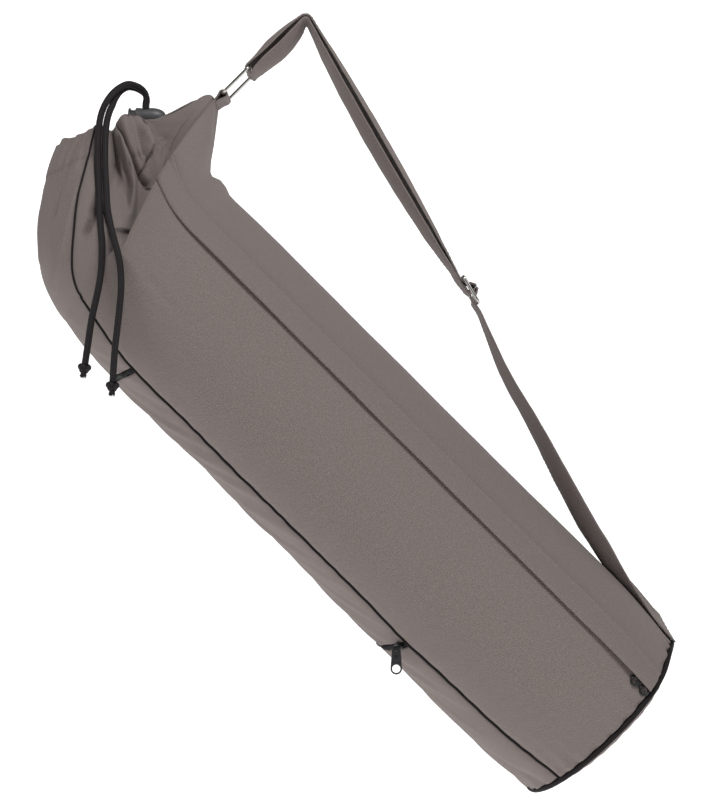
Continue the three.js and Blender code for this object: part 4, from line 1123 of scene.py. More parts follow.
def cloth_piece(
    name: str,
    sides: tuple[Callable[[Zone, float], float], Callable[[Zone, float], float]],
    ends: tuple[Height, Height],
    rows: Sequence[tuple[Zone, float]],
    columns: int,
    dress: Dress,
    stand: Callable[[float, Zone, float], float] | None = None,
) -> bpy.types.Object:
    """Cut a piece of cloth from the bag's surface.

    Args:
        name: The piece's name.
        sides: Angle of its lower and its higher side edge anywhere along the cloth.
        ends: Height of its first and last row on the tube, for an angle.
        rows: Its rows; a row on the tube holds its share of the way between the ends.
        columns: Corners across.
        dress: What it wears.
        stand: How far it stands off the surface, for a share across, a zone and a value.

    Returns:
        The piece.
    """
    middle = (sides[0](Zone.TUBE, BAG.length / 2) + sides[1](Zone.TUBE, BAG.length / 2)) / 2

    def place(column: int, row: int) -> Vector:
        """Place a corner of the cloth in the scene."""
        zone, value = rows[row]
        level = lerp(ends[0](middle), ends[1](middle), value) if zone is Zone.TUBE else value
        across = column / (columns - 1)
        turn = lerp(sides[0](zone, level), sides[1](zone, level), across)
        if zone is Zone.TUBE:
            level = lerp(ends[0](turn), ends[1](turn), value)
        spot = cloth(turn, zone, level)
        if stand:
            folded = zone is Zone.FOLD
            out = edge_frame(round(upper_wrap(turn), 3))[2] if folded else outward_at(turn, zone, level)
            spot = spot + out * stand(across, zone, level)
        return in_scene(spot)

    bm = grid_mesh(columns, len(rows), place)
    face_outwards(bm, in_scene(Vector((0, 0, BAG.length / 2))))
    return add_piece(name, bm, dress)


def tube_rows(count: int) -> list[tuple[Zone, float]]:
    """Rows that divide a stretch of the tube evenly, as shares of it."""
    return [(Zone.TUBE, i / count) for i in range(count + 1)]


def rows_to_mouth(count: int) -> list[tuple[Zone, float]]:
    """Rows that run up a stretch of the tube, through the fold and up the collar, over the rim."""
    rows = tube_rows(count)
    rows += [(Zone.FOLD, i / FOLD_ROWS) for i in range(1, FOLD_ROWS + 1)]
    rows += [(Zone.COLLAR, i / COLLAR_ROWS) for i in range(1, COLLAR_ROWS + 1)]
    return rows + [(Zone.HEM, i / HEM_ROWS) for i in range(1, HEM_ROWS + 1)]


@dataclass(frozen=True)
class TubeCloth:
    """Panels of the tube, the flap over the main zip and the base."""

    finishes: Finishes
    seam_half: float = 0.4
    zip_half: float = 0.9
    cloth_mm: float = 1.1
    pocket_gap: float = 3.0
    welt_radius: float = 2.3
    welt_share: float = 0.953
    base_bulge: float = 7.5
    flap_run: tuple = ((0, 33), (0.3, 31.5), (0.52, 26), (0.63, 24.5), (0.8, 22), (1, 19))
    flap_seam: float = 55.0

    def arch(self, turn: float) -> float:
        """Rise of a pocket zip at an angle of the side panel."""
        share = clamp((BAG.front_seam - turn) / (BAG.front_seam - BAG.back_seam))
        return BAG.zip_arch * math.sin(math.pi * share)

    def zip_gap(self, zone: Zone) -> float:
        """Half of the gap for the main zip, which ends at the crease."""
        return self.zip_half if zone is Zone.TUBE else 0.0

    def dress(self, *nodes: str) -> Dress:
        """What a canvas piece wears."""
        return Dress(self.finishes.canvas, Slot.CANVAS, nodes=nodes, thickness=self.cloth_mm * MM)

    def level(self, height: float) -> Height:
        """An edge at one height all round."""
        return lambda turn: height

    def pocket_edge(self, height: float, side: int) -> Height:
        """The cloth's edge below (-1) or above (1) a pocket zip."""
        return lambda turn: height + self.arch(turn) + side * self.pocket_gap

    def panels(self) -> None:
        """Make the front, the back and the three cloths of the side panel."""
        hem, top = self.level(BAG.hem_start), self.level(BAG.length)
        low_end, low_start = self.pocket_edge(BAG.lower_zip, -1), self.pocket_edge(BAG.lower_zip, 1)
        high_end, high_start = self.pocket_edge(BAG.upper_zip, -1), self.pocket_edge(BAG.upper_zip, 1)
        front = (
            lambda zone, at: seam_turn(1, zone, at) + self.seam_half,
            lambda zone, at: BAG.zip_angle - self.zip_gap(zone),
        )
        back = (
            lambda zone, at: BAG.zip_angle + self.zip_gap(zone),
            lambda zone, at: 360 + seam_turn(-1, zone, at) - self.seam_half,
        )
        side = (
            lambda zone, at: seam_turn(-1, zone, at) + self.seam_half,
            lambda zone, at: seam_turn(1, zone, at) - self.seam_half,
        )
        upper_nodes = ("side_panel_upper", "gathered_collar")
        for name, sides, ends, rows, columns, nodes in (
            ("front_cloth", front, (hem, top), rows_to_mouth(170), 100, ("front_panel", "gathered_collar")),
            ("back_cloth", back, (hem, top), rows_to_mouth(150), 210, ("back_panel", "gathered_collar")),
            ("side_cloth_lower", side, (hem, low_end), tube_rows(70), 70, ("side_panel_lower",)),
            ("side_cloth_middle", side, (low_start, high_end), tube_rows(130), 70, ("side_panel_middle",)),
            ("side_cloth_upper", side, (high_start, top), rows_to_mouth(24), 90, upper_nodes),
        ):
            cloth_piece(name, sides, ends, rows, columns, self.dress(*nodes))

    def flap(self) -> None:
        """Make the flap, sewn along its upper edge, and its run up the collar from under the crease."""

        def stand(across: float, zone: Zone, at: float) -> float:
            """How far the flap stands off the tube's cloth."""
            lift = 3.4
            if zone is Zone.TUBE:
                lift += 2.4 * hump(at, 0, 45) + 0.7 * wobble(at / 55, 3)
                lift = lerp(lift, 1.0, smooth(at, BAG.length - 55, BAG.length))
            else:
                lift = 1.0
            rolled = -1.3 * hump(across, 0, 0.05)
            sewn = -1.6 * hump(across, 1, 0.05)
            ridge = 1.7 * hump(across, 0.88, 0.07)
            return 1.1 + lift * (1 - across) ** 0.8 + rolled + sewn + ridge

        sides = (lambda zone, at: BAG.flap_low, lambda zone, at: BAG.flap_high)
        ends = (self.level(BAG.hem_start + 1), self.level(BAG.length))
        rows = tube_rows(170) + [(Zone.FOLD, i / FOLD_ROWS) for i in range(1, 9)]
        cloth_piece("flap_cloth", sides, ends, rows, 22, self.dress("zip_flap"), stand)

        def collar_stand(across: float, zone: Zone, at: float) -> float:
            """How far the flap's upper run stands off the collar."""
            return 0.25 + 0.9 * math.sin(math.pi * clamp(across, 0.02, 0.98)) ** 0.35

        rows = [(Zone.COLLAR, i / COLLAR_ROWS) for i in range(COLLAR_ROWS + 1)]
        rows += [(Zone.HEM, i / HEM_ROWS) for i in range(1, 5)]
        upper = (lambda zone, at: eased(self.flap_run, at, 0.08), lambda zone, at: self.flap_seam)
        cloth_piece("flap_collar_cloth", upper, ends, rows, 34, self.dress("zip_flap"), collar_stand)

    def stitches(self) -> None:
        """Sew the drawstring channel below the rim."""
        spots = []
        turn = -180.0
        while turn < 180:
            at = 1 - BAG.channel / collar_length(round(turn / 5))
            if at > 0.3:
                over_flap = self.flap_run[-1][1] < turn < self.flap_seam
                out = outward_at(turn, Zone.COLLAR, at)
                spot = cloth(turn, Zone.COLLAR, at) + out * (1.9 if over_flap else 0.8)
                ahead = cloth(turn + 0.5, Zone.COLLAR, at) - cloth(turn - 0.5, Zone.COLLAR, at)
                here = in_scene(spot)
                spots.append((here, in_scene(spot + ahead) - here, in_scene(spot + out) - here))
            turn += 2.6 if abs(turn) < 60 else 3.6
        sewn = stitch_mesh(spots, 2.1 * MM, 0.5 * MM)
        add_piece("canvas_stitches", sewn, Dress(self.finishes.thread, Slot.CANVAS))

    def base(self) -> None:
        """Make the round base and the thick welt round it."""
        ring = BAG.radius * self.welt_share
        reach = ring - 1.2
        shares = [i / 26 for i in range(27)]
        profile = [(reach * s, -self.base_bulge * (1 - smooth(s, 0.8, 1.0)) + 0.6) for s in shares]
        bm = turned_sheet([(radius * MM, height * MM) for radius, height in profile], 96)
        add_uv(bm, {vert.index: (vert.co.x, vert.co.y) for vert in bm.verts})
        for vert in bm.verts:
            flat = vert.co / MM
            turn = math.degrees(math.atan2(flat.x, -flat.y))
            share = math.hypot(flat.x, flat.y) / ring
            height = flat.z + BAG.heel_lift * hump(turn, BAG.heel_turn, BAG.heel_spread) * share**6
            height += share**5 * (0.9 * math.sin(math.radians(turn) * 30) + 1.1 * ring_noise(turn, 14, 2))
            height += 0.8 * wobble(flat.x / 45, flat.y / 45) * (1 - share**4)
            vert.co = in_scene(Vector((flat.x, flat.y, height)))
        face_outwards(bm, in_scene(Vector((0, 0, 200))))
        add_piece("base_cloth", bm, self.dress("base_panel"))
        points = []
        for i in range(180):
            turn = 2.0 * i
            height = BAG.hem_start - self.welt_radius - 0.9
            height += BAG.heel_lift * hump(upper_wrap(turn), BAG.heel_turn, BAG.heel_spread)
            points.append(in_scene(around(turn, ring + 0.3 * ring_noise(turn, 10, 5), height)))
        welt = sweep_mesh(points, even(self.welt_radius), 12, closed=True)
        add_piece("base_welt", welt, Dress(self.finishes.bias, Slot.PIPING, nodes=("base_piping",)))


@dataclass(frozen=True)
class Trims:
    """Seam cords, zips and their sliders."""

    finishes: Finishes
    cloth: TubeCloth
    cord_radius: float = 1.2
    coil_pitch: float = 1.6
    coil_wire: float = 0.32
    pull_radius: float = 3.85
    pull_wire: float = 1.0

    def cord_section(self, share: float, turn: float) -> float:
        """Radius of a seam cord, which thins out up the collar."""
        return self.cord_radius * MM * lerp(1, 0.66, smooth(share, 0.6, 0.85))

    def seam_cords(self) -> None:
        """Make the black cord in each side seam, from the base to the rim."""
        for name, side in (("front", 1), ("back", -1)):
            rows = [(Zone.TUBE, lerp(BAG.hem_start, BAG.length, i / 150)) for i in range(151)]
            rows += [(Zone.FOLD, i / 4) for i in range(1, 5)]
            rows += [(Zone.COLLAR, i / 40) for i in range(1, 41)]
            points = []
            for zone, at in rows:
                turn = seam_turn(side, zone, at)
                spot = cloth(turn, zone, at) + outward_at(turn, zone, at) * 0.7
                points.append(in_scene(spot))
            line = spline(points[::2] + [points[-1]], 3.0 * MM)
            bm = sweep_mesh(line, self.cord_section, 8)
            dress = Dress(self.finishes.bias, Slot.PIPING, nodes=(f"side_piping_{name}",))
            add_piece(f"seam_cord_{name}", bm, dress)

    def zip_line(self, name: str, spots: Sequence[Spot], half: float, nodes: str) -> None:
        """Make a zip: its woven tape and the coil that closes it.

        Args:
            name: The zip's name.
            spots: Points of its line, each with its across and outward directions, in the bag's frame.
            half: Half of the tape's width.
            nodes: The solid that it stands for.
        """

        def place(column: int, row: int) -> Vector:
            """Place a corner of the tape."""
            spot, across, out = spots[row]
            return in_scene(spot + across * half * (column / 4 - 1) - out * 0.9)

        tape = grid_mesh(9, len(spots), place)
        face_outwards(tape, in_scene(Vector((0, 0, BAG.length / 2))))
        dress = Dress(self.finishes.tape, Slot.ZIP, nodes=(nodes,), thickness=0.7 * MM)
        add_piece(f"{name}_tape", tape, dress)
        lengths = running([spot for spot, _, _ in spots])
        steps = round(lengths[-1] / self.coil_pitch * 7)
        points = []
        k = 0
        for i in range(steps + 1):
            want = lengths[-1] * i / steps
            while k + 2 < len(lengths) and lengths[k + 1] < want:
                k += 1
            share = (want - lengths[k]) / (lengths[k + 1] - lengths[k])
            spot = spots[k][0].lerp(spots[k + 1][0], share)
            across = spots[k][1].lerp(spots[k + 1][1], share)
            out = spots[k][2].lerp(spots[k + 1][2], share)
            phase = 2 * math.pi * i / 7
            rise = 0.75 * math.cos(phase) + 0.1
            points.append(in_scene(spot + across * 1.9 * math.sin(phase) + out * rise))
        coil = sweep_mesh(points, even(self.coil_wire), 5)
        add_piece(f"{name}_coil", coil, Dress(self.finishes.coil, Slot.ZIP, nodes=(nodes,)))

    def zips(self) -> None:
        """Make the main zip under the flap and the two pocket zips."""
        spots = []
        for i in range(121):
            height = lerp(BAG.hem_start + 1, BAG.length - 4, i / 120)
            spot = cloth(BAG.zip_angle, Zone.TUBE, height)
            out = outward_at(BAG.zip_angle, Zone.TUBE, height)
            spots.append((spot, Vector((0, 0, 1)).cross(out).normalized(), out))
        self.zip_line("main_zip", spots, 6.0, "main_zip_tape")
        for name, level in (("lower", BAG.lower_zip), ("upper", BAG.upper_zip)):
            spots = []
            for i in range(61):
                share = i / 60
                height = level
                turn = lerp(BAG.seam(-1, height) + 1, BAG.seam(1, height) - 1, share)
                height += self.cloth.arch(turn)
                spot = cloth(turn, Zone.TUBE, height)
                out = outward_at(turn, Zone.TUBE, height)
                ahead = cloth(turn + 1, Zone.TUBE, height) - cloth(turn - 1, Zone.TUBE, height)
                spots.append((spot, out.cross(ahead).normalized(), out))
            self.zip_line(f"pocket_zip_{name}", spots, 6.5, f"pocket_zip_{name}")

    def ring_pulls(self) -> None:
        """Make the two open ring pulls of the main zip, which hang out below the flap's edge."""
        for name, share in (("upper", 0.036), ("lower", 0.0165)):
            height = BAG.length * share
            turn = BAG.zip_angle - math.degrees(14.5 / BAG.radius)
            out = around(turn, 1, 0)
            side = around(turn + 90, 1, 0)
            centre = BAG.plain(turn, height) + out * 1.9
            droop = -0.16
            ring = [
                in_scene(centre + (side * math.sin(a) + Vector((0, 0, 1)) * math.cos(a)) * self.pull_radius)
                for a in [2 * math.pi * i / 28 for i in range(28)]
            ]
            loop = sweep_mesh(ring, even(self.pull_wire), 8, closed=True)
            root = centre + side * self.pull_radius
            stem_line = [in_scene(root + (side + out * droop) * k) for k in (0.0, 1.5, 4.5, 8.2)]
            stem = sweep_mesh(stem_line, lambda share, turn: lerp(1.3, 1.7, share) * MM, 8)
            middle = centre + side * (self.pull_radius + 9.5)
            body_line = [in_scene(middle + Vector((0, 0, k)) - out * 3.2) for k in (-5, -3.6, 0, 3.6, 5)]
            body = sweep_mesh(body_line, stepped((1.5, 2.6, 2.2, 2.9, 1.9)), 10)
            whole = join_meshes([loop, stem, body])
            dress = Dress(self.finishes.enamel, Slot.ZIP_METAL, nodes=(f"main_zip_pull_{name}",))
            add_piece(f"ring_pull_{name}", whole, dress)


def flat_mesh(
    outlines: Sequence[Sequence[tuple[float, float]]], thick: float, rounding: float
) -> bmesh.types.BMesh:
    """Cut a plate with rounded edges from outlines in the XZ plane.

    Args:
        outlines: The outer outline and then the holes, in metres.
        thick: The plate's thickness along Y.
        rounding: Radius of its edges.

    Returns:
        The closed mesh.
    """
    curve = bpy.data.curves.new("plate", "CURVE")
    curve.dimensions = "2D"
    curve.fill_mode = "BOTH"
    curve.extrude = thick / 2 - rounding
    curve.bevel_depth = rounding
    curve.bevel_resolution = 2
    curve.offset = -rounding
    for outline in outlines:
        run = curve.splines.new("POLY")
        run.points.add(len(outline) - 1)
        for point, (x, z) in zip(run.points, outline):
            point.co = (x, z, 0, 1)
        run.use_cyclic_u = True
    shape = bpy.data.objects.new("plate", curve)
    bpy.context.scene.collection.objects.link(shape)
    graph = bpy.context.evaluated_depsgraph_get()
    bm = bmesh.new()
    bm.from_mesh(shape.evaluated_get(graph).to_mesh())
    shape.evaluated_get(graph).to_mesh_clear()
    bpy.data.objects.remove(shape)
    bpy.data.curves.remove(curve)
    bmesh.ops.rotate(bm, verts=bm.verts, cent=(0, 0, 0), matrix=Matrix.Rotation(math.pi / 2, 3, "X"))
    bmesh.ops.remove_doubles(bm, verts=bm.verts, dist=1e-6)
    bmesh.ops.recalc_face_normals(bm, faces=bm.faces)
    return bm


def arc(
    centre: tuple[float, float], radius: float, start: float, end: float, steps: int
) -> list[tuple[float, float]]:
    """List points of an arc in the plate's plane, angles in degrees."""
    turns = [math.radians(lerp(start, end, i / steps)) for i in range(steps + 1)]
    return [(centre[0] + radius * math.cos(t), centre[1] + radius * math.sin(t)) for t in turns]


@dataclass(frozen=True)
class PocketSlider:
    """Slider of the lower pocket zip and the tapered pull that hangs on it."""

    finishes: Finishes
    cloth: TubeCloth
    turn: float = -54.5
    stand: float = 5.5
    reach: float = 5.2
    pull_length: float = 25.0
    top_width: float = 7.6
    end_width: float = 10.0
    thick: float = 1.6

    def build(self) -> None:
        """Make the slider with its bridge, and the pull."""
        height = BAG.lower_zip + self.cloth.arch(self.turn) + 1
        seat = BAG.plain(self.turn, height) + around(self.turn, 0.3, 0)
        out = around(self.turn, 1, 0)
        side = around(self.turn + 90, 1, 0)
        up = Vector((0, 0, 1))
        rows = [seat + side * k + out * 1.9 for k in (-5.2, -4, 0, 3.4, 4.8)]
        plan = [in_scene(spot) for spot in rows]
        body = sweep_mesh(plan, stepped((1.6, 3.4, 2.9, 4.0, 2.6)), 14)
        middle = in_scene(seat + out * 1.9)
        lower = in_scene(seat + out * 1.9 + out) - middle
        for vert in body.verts:
            away = (vert.co - middle).dot(lower.normalized())
            vert.co -= lower.normalized() * away * 0.48
        pin = seat + out * self.stand
        tip = Vector((pin.x, pin.y - self.reach, pin.z))
        feet = (seat - side * 4 + out * 2.6, seat + out * 2.6 + side * 4)
        knots = (feet[0], seat + out * 6.2 - side * 2, pin, feet[1])
        arch = sweep_mesh(spline([in_scene(knot) for knot in knots], 0.6 * MM), even(1.0), 8)
        rod = sweep_mesh([in_scene(pin), in_scene(pin.lerp(tip, 0.5)), in_scene(tip)], even(0.9), 10)
        head_rows = [in_scene(tip - Vector((0, k, 0))) for k in (-0.1, 0.05, 0.6, 0.8)]
        head = sweep_mesh(head_rows, stepped((1.2, 1.9, 1.9, 1.3)), 12)
        slider = join_meshes([body, arch, rod, head])
        dress = Dress(self.finishes.enamel, Slot.ZIP_METAL, nodes=("pocket_slider",))
        add_piece("pocket_zip_slider", slider, dress)
        crown, foot = self.top_width / 2, self.end_width / 2
        low = crown - self.pull_length + foot
        outer = arc((0, 0), crown, 0, 180, 10) + arc((0, low), foot, 180, 360, 14)
        eye = arc((0, 0), 1.25, 0, 345, 12)
        hole = arc((0, low), foot * 0.72, 0, 345, 18)
        window = [(-1.9, -4.4), (1.9, -4.4), (2.7, low + 5.6), (-2.7, low + 5.6)]
        scaled = [[(x * MM, z * MM) for x, z in outline] for outline in (outer, eye, hole, window)]
        pull = flat_mesh(scaled, self.thick * MM, 0.42 * MM)
        panel = flat_mesh([[(x * 1.25 * MM, z * MM) for x, z in window]], self.thick * 0.5 * MM, 0.15 * MM)
        whole = join_meshes([pull, panel])
        low_corner, high_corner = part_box("pocket_pull")
        pivot = (low_corner + high_corner) / 2
        pivot.z = high_corner.z - crown * MM
        bmesh.ops.translate(whole, verts=whole.verts, vec=pivot)
        dress = Dress(self.finishes.enamel, Slot.ZIP_METAL, Body.PULL, ("pocket_pull",))
        add_piece("pocket_zip_pull", whole, dress)


@dataclass(frozen=True)
class StrapRow:
    """A cross line of a strap: the place of its middle, its splay, and how far it is cupped."""

    place: Vector
    splay: float = 0.0
    cup: float = 0.0


def outward_of(ahead: Vector) -> Vector:
    """Return the outer side of a strap that runs ahead."""
    return ahead.cross(SIDEWAYS)


@dataclass
class Strap:
    """Shoulder strap: two layers from the ring over the hook to the slider, and one down to the base."""

    finishes: Finishes
    width: float = 38.0
    thick: float = 2.0
    gap: float = 0.3
    hook: float = 2.4
    ring_wire: float = 3.0
    ring_length: float = 36.0
    ring_inside: float = 40.0
    bar: float = 2.6
    pitch: float = 13.0
    slider_share: float = 0.443
    outer_splay: float = -5.0
    inner_splay: float = -9.0
    outer_cups: tuple = (-8.0, -1.0, -6.5)
    inner_cups: tuple = (5.5, 2.0, 5.0)
    parting: float = 0.9
    lower_run: tuple = (
        (0.17, -0.014, -8, 0.6),
        (0.32, -0.012, -12, 1.2),
        (0.48, -0.014, -17, 4.0),
        (0.64, -0.016, -20, 6.0),
        (0.7, -0.0145, -16, 8.0),
        (0.754, -0.016, -8, 10.0),
        (0.815, -0.018, 2, 8.7),
        (0.867, -0.017, 7, 5.0),
        (0.93, -0.0152, 11, 1.8),
        (0.965, -0.0102, 12, 0.5),
    )

    def __post_init__(self) -> None:
        """Work out the strap's anchor points, in millimetres of the scene."""
        along_tube = Vector((DIAGONAL, 0, DIAGONAL))
        peak = in_scene(Vector((BAG.radius + BAG.peak_height, 0, BAG.length + BAG.peak_reach))) / MM
        self.tube_up = along_tube
        self.peak = peak
        self.ring_foot = peak + along_tube * 7 + Vector((1.8, 0, 1.2))
        self.ring_head = self.ring_foot + along_tube * (self.ring_length - self.ring_wire)
        seat_height = 12.0
        girth = BAG.radius * along(BAG.girth, seat_height / BAG.length)
        self.seat = in_scene(Vector((girth + 0.7 + self.thick / 2, 0, seat_height + 1.8))) / MM
        apex = self.thick + self.gap / 2
        self.bend = self.hook + apex
        self.centre = Vector((0, 0, apex - self.bend))
        self.rising = (self.centre - self.ring_head).normalized()
        self.falling = (self.seat - self.centre + Vector((-10, 0, 0))).normalized()
        self.start = self.centre + outward_of(self.falling) * self.bend
        self.run = (self.seat - self.start).length
        half = self.bar / 2
        self.under = -(half + self.gap + self.thick / 2)
        self.loop = half * math.sqrt(2) + self.gap + self.thick / 2
        self.over = self.loop + self.thick + self.gap * 1.3
        lift = self.thick + self.gap * 1.5 + half
        hang = self.falling * self.run * self.slider_share
        self.slider = self.start + hang + outward_of(self.falling) * lift

    def sliding(self, at: float, value: float) -> StrapRow:
        """A row near the slider: its distance past the middle bar and its height off the slider's plane."""
        return StrapRow(self.slider + self.falling * at + outward_of(self.falling) * value)

    def layer(
        self, side: int, splay: float, cups: tuple[float, float, float], last: Sequence[tuple[float, float]]
    ) -> list[StrapRow]:
        """List the rows of the outer (1) or inner (-1) layer from the ring to the slider.

        Args:
            side: Which layer.
            splay: How far its far edge leans from the near one, in degrees.
            cups: How far it is cupped before the hook, over it and after it.
            last: Its rows near the slider.

        Returns:
            The rows.
        """
        shift = (self.thick + self.gap) / 2
        wrap = self.ring_wire / 2 * math.sqrt(2) + self.gap + self.thick / 2
        left_out, right_out = outward_of(self.rising), outward_of(self.falling)
        length = (self.centre - self.ring_head).length
        rows = []
        for share in (0.04, 0.12, 0.25, 0.45, 0.65, 0.82, 0.93):
            spread = lerp(wrap, shift, min(1, share / 0.2))
            aside = self.bend * share + side * spread
            place = self.ring_head + self.rising * length * share + left_out * aside
            bow = math.sin(math.pi * share) ** 0.6
            place += left_out * side * self.parting * bow
            rows.append(StrapRow(place, splay * bow, cups[0] * bow))
        for share in (0, 0.25, 0.5, 0.75, 1):
            out = left_out.lerp(right_out, share).normalized()
            rows.append(StrapRow(self.centre + out * (self.bend + side * shift), 0.0, cups[1]))
        for share in (0.05, 0.12, 0.25, 0.42, 0.6, 0.78, 0.88):
            hang = self.falling * self.run * self.slider_share * share
            place = self.start + hang + right_out * side * shift
            bow = math.sin(math.pi * clamp(share / 0.9)) ** 0.6
            place += right_out * side * self.parting * bow
            rows.append(StrapRow(place, splay * bow, cups[2] * bow))
        return rows + [self.sliding(at, value) for at, value in last]

    def ribbon(
        self, name: str, rows: Sequence[StrapRow], width: float, nodes: tuple[str, ...], slot: Slot
    ) -> None:
        """Make a strap along its rows, with a row of stitches near each edge.

        Args:
            name: The piece's name.
            rows: Its cross lines.
            width: Its width.
            nodes: The solids that it stands for.
            slot: Its material slot.
        """
        places = [row.place for row in rows]
        knots = running(places)
        line = spline(places, 2.2)
        run = running(line)
        scale = knots[-1] / run[-1]
        splays = [(k, row.splay) for k, row in zip(knots, rows)]
        cups = [(k, row.cup) for k, row in zip(knots, rows)]
        frames = []
        for i, spot in enumerate(line):
            ahead = (line[min(i + 1, len(line) - 1)] - line[max(i - 1, 0)]).normalized()
            at = run[i] * scale
            across = Matrix.Rotation(math.radians(along(splays, at)), 3, ahead) @ SIDEWAYS
            out = ahead.cross(across).normalized()
            centre = spot + (across - SIDEWAYS) * width / 2
            frames.append((centre, across, out, along(cups, at), ahead))
        columns = 15

        def point(share: float, row: int, above: float = 0.0) -> Vector:
            """Point of the strap at a share across and a row."""
            centre, across, out, cup, _ = frames[row]
            side = 2 * share - 1
            wave = 0.35 * wobble(share * 2.2, run[row] / 17, 4)
            edge = 0.25 * hump(abs(side), 0.93, 0.09)
            lift = cup * (side * side - 1) + wave + edge + above
            reach = 1 + (side - 1) / 2 * 2.7 * (cup / width) ** 2
            return (centre - across * width * side / 2 * reach + out * lift) * MM

        bm = grid_mesh(columns, len(frames), lambda column, row: point(column / (columns - 1), row))
        bm.normal_update()
        faces = list(bm.faces)
        outward = frames[len(frames) // 2][2]
        if faces[0].normal.dot(outward) + faces[-1].normal.dot(outward) < 0:
            bmesh.ops.reverse_faces(bm, faces=bm.faces)
        dress = Dress(
            self.finishes.canvas, slot, nodes=nodes, thickness=self.thick * MM * 0.9, offset=0.0, subdivide=1
        )
        add_piece(name, bm, dress)
        spots = []
        inset = 3.0 / width
        for share in (inset, 1 - inset):
            for face_side in (1, -1):
                at = 2.0
                for i in range(1, len(frames) - 1):
                    if run[i] < at:
                        continue
                    at = run[i] + 3.1
                    out = frames[i][2] * face_side
                    spots.append((point(share, i, face_side * (self.thick * 0.46)), frames[i][4], out))
        stitches = stitch_mesh(spots, 2.2 * MM, 0.55 * MM)
        add_piece(f"{name}_stitches", stitches, Dress(self.finishes.thread, slot))

    def build(self) -> None:
        """Make the layers, the lower run and the tab."""
        table = (
            (-self.pitch - 12, self.under),
            (-self.pitch + 1.5, self.under),
            (-2.5, self.over),
            (0, self.over + self.gap),
            (2.5, self.over),
            (self.pitch - 1.5, self.under),
            (self.pitch + 12, self.under),
        )
        wrap = self.ring_wire / 2 * math.sqrt(2) + self.gap + self.thick / 2
        turns = [math.radians(turn) for turn in (-84, -57, -30, 10, 45, 80)]
        left_out = outward_of(self.rising)
        start = [
            StrapRow(self.ring_head - self.rising * wrap * math.cos(t) + left_out * wrap * math.sin(t))
            for t in turns
        ]
        outer = start + self.layer(1, self.outer_splay, self.outer_cups, table[:4])
        self.ribbon("strap_outer_cloth", outer, self.width, ("strap_outer",), Slot.STRAP)
        sewn = [
            (-self.pitch - 10, self.under - self.thick - self.gap),
            (-self.pitch, self.under - self.thick - self.gap),
            (-6, (self.under - self.loop - self.thick) / 2),
        ]
        sewn += [
            (self.loop * math.cos(math.radians(t)), self.loop * math.sin(math.radians(t)))
            for t in (-90, -55, -20, 15, 50, 80)
        ]
        around_bar = wrap + self.thick * 0.95
        inner = [
            StrapRow(self.ring_head - (self.rising * math.cos(t) + left_out * math.sin(t)) * around_bar)
            for t in (math.radians(58), math.radians(78))
        ]
        inner += self.layer(-1, self.inner_splay, self.inner_cups, sewn)
        self.ribbon("strap_inner_cloth", inner, self.width, ("strap_inner",), Slot.STRAP)
        rows = [self.sliding(at, value) for at, value in table[3:]]
        first = rows[-1].place
        run = (self.seat - first).length
        ahead = (self.seat - first).normalized()
        for at, bow, splay, cup in self.lower_run:
            place = first + ahead * run * at + outward_of(ahead) * run * bow
            rows.append(StrapRow(place, splay, cup))
        sunk = self.seat - Vector((DIAGONAL, 0, DIAGONAL)) * 1.4
        rows.append(StrapRow(sunk, 8, 0.3))
        rows.append(StrapRow(sunk + Vector((DIAGONAL, 0, -DIAGONAL)) * 10.0, 4, 0))
        self.ribbon("strap_lower_cloth", rows, self.width, ("strap_lower",), Slot.STRAP)
        self.tab()

    def tab(self) -> None:
        """Make the short tab from the bag's peak round the lower bar of the ring."""
        wrap = self.ring_wire / 2 * math.sqrt(2) + self.gap + 1.0
        foot = self.peak + self.tube_up * 0.9
        ahead = (self.ring_foot - foot).normalized()
        out = outward_of(ahead)
        reach = (self.ring_foot - foot).length
        legs = ((-0.35, 1.25), (0, 1.25), (0.45, 1.9))
        places = [foot + ahead * reach * share + out * aside for share, aside in legs]
        for turn in (120, 90, 60, 30, 0, -30, -60, -90, -120):
            angle = math.radians(turn)
            places.append(self.ring_foot + ahead * wrap * math.cos(angle) + out * wrap * math.sin(angle))
        places += [foot + ahead * reach * share - out * aside for share, aside in reversed(legs)]
        self.ribbon("tab_cloth", [StrapRow(p) for p in places], BAG.tab_width, ("strap_tab",), Slot.CANVAS)

    def frame_line(
        self, centre: Vector, ahead: Vector, width: float, length: float, corner: float
    ) -> list[Vector]:
        """List the corners of a rounded frame's middle line, in metres."""
        x, y = width / 2 - corner, length / 2 - corner
        line = []
        for (cx, cy), start in (((x, y), 0), ((-x, y), 90), ((-x, -y), 180), ((x, -y), 270)):
            for px, py in arc((cx, cy), corner, start, start + 90, 6):
                line.append((centre + SIDEWAYS * px + ahead * py) * MM)
        return line

    def metal(self) -> None:
        """Make the rectangular ring and the three-bar slider."""
        centre = self.ring_foot.lerp(self.ring_head, 0.5)
        width = self.ring_inside + self.ring_wire
        length = self.ring_length - self.ring_wire
        line = self.frame_line(centre, self.tube_up, width, length, 4.0)
        ring = sweep_mesh(line, even(self.ring_wire / 2), 14, closed=True)
        add_piece("ring_wire", ring, Dress(self.finishes.nickel, Slot.STEEL, nodes=("strap_ring",)))
        line = self.frame_line(self.slider, self.falling, width, 2 * self.pitch, 3.0)
        frame = sweep_mesh(line, even(self.bar / 2 * 1.3), 12, closed=True)
        ends = [(self.slider + SIDEWAYS * width / 2 * side) * MM for side in (-1, 0, 1)]
        middle = sweep_mesh(ends, even(self.bar / 2), 12)
        whole = join_meshes([frame, middle])
        add_piece("slider_frame", whole, Dress(self.finishes.nickel, Slot.STEEL, nodes=("strap_slider",)))


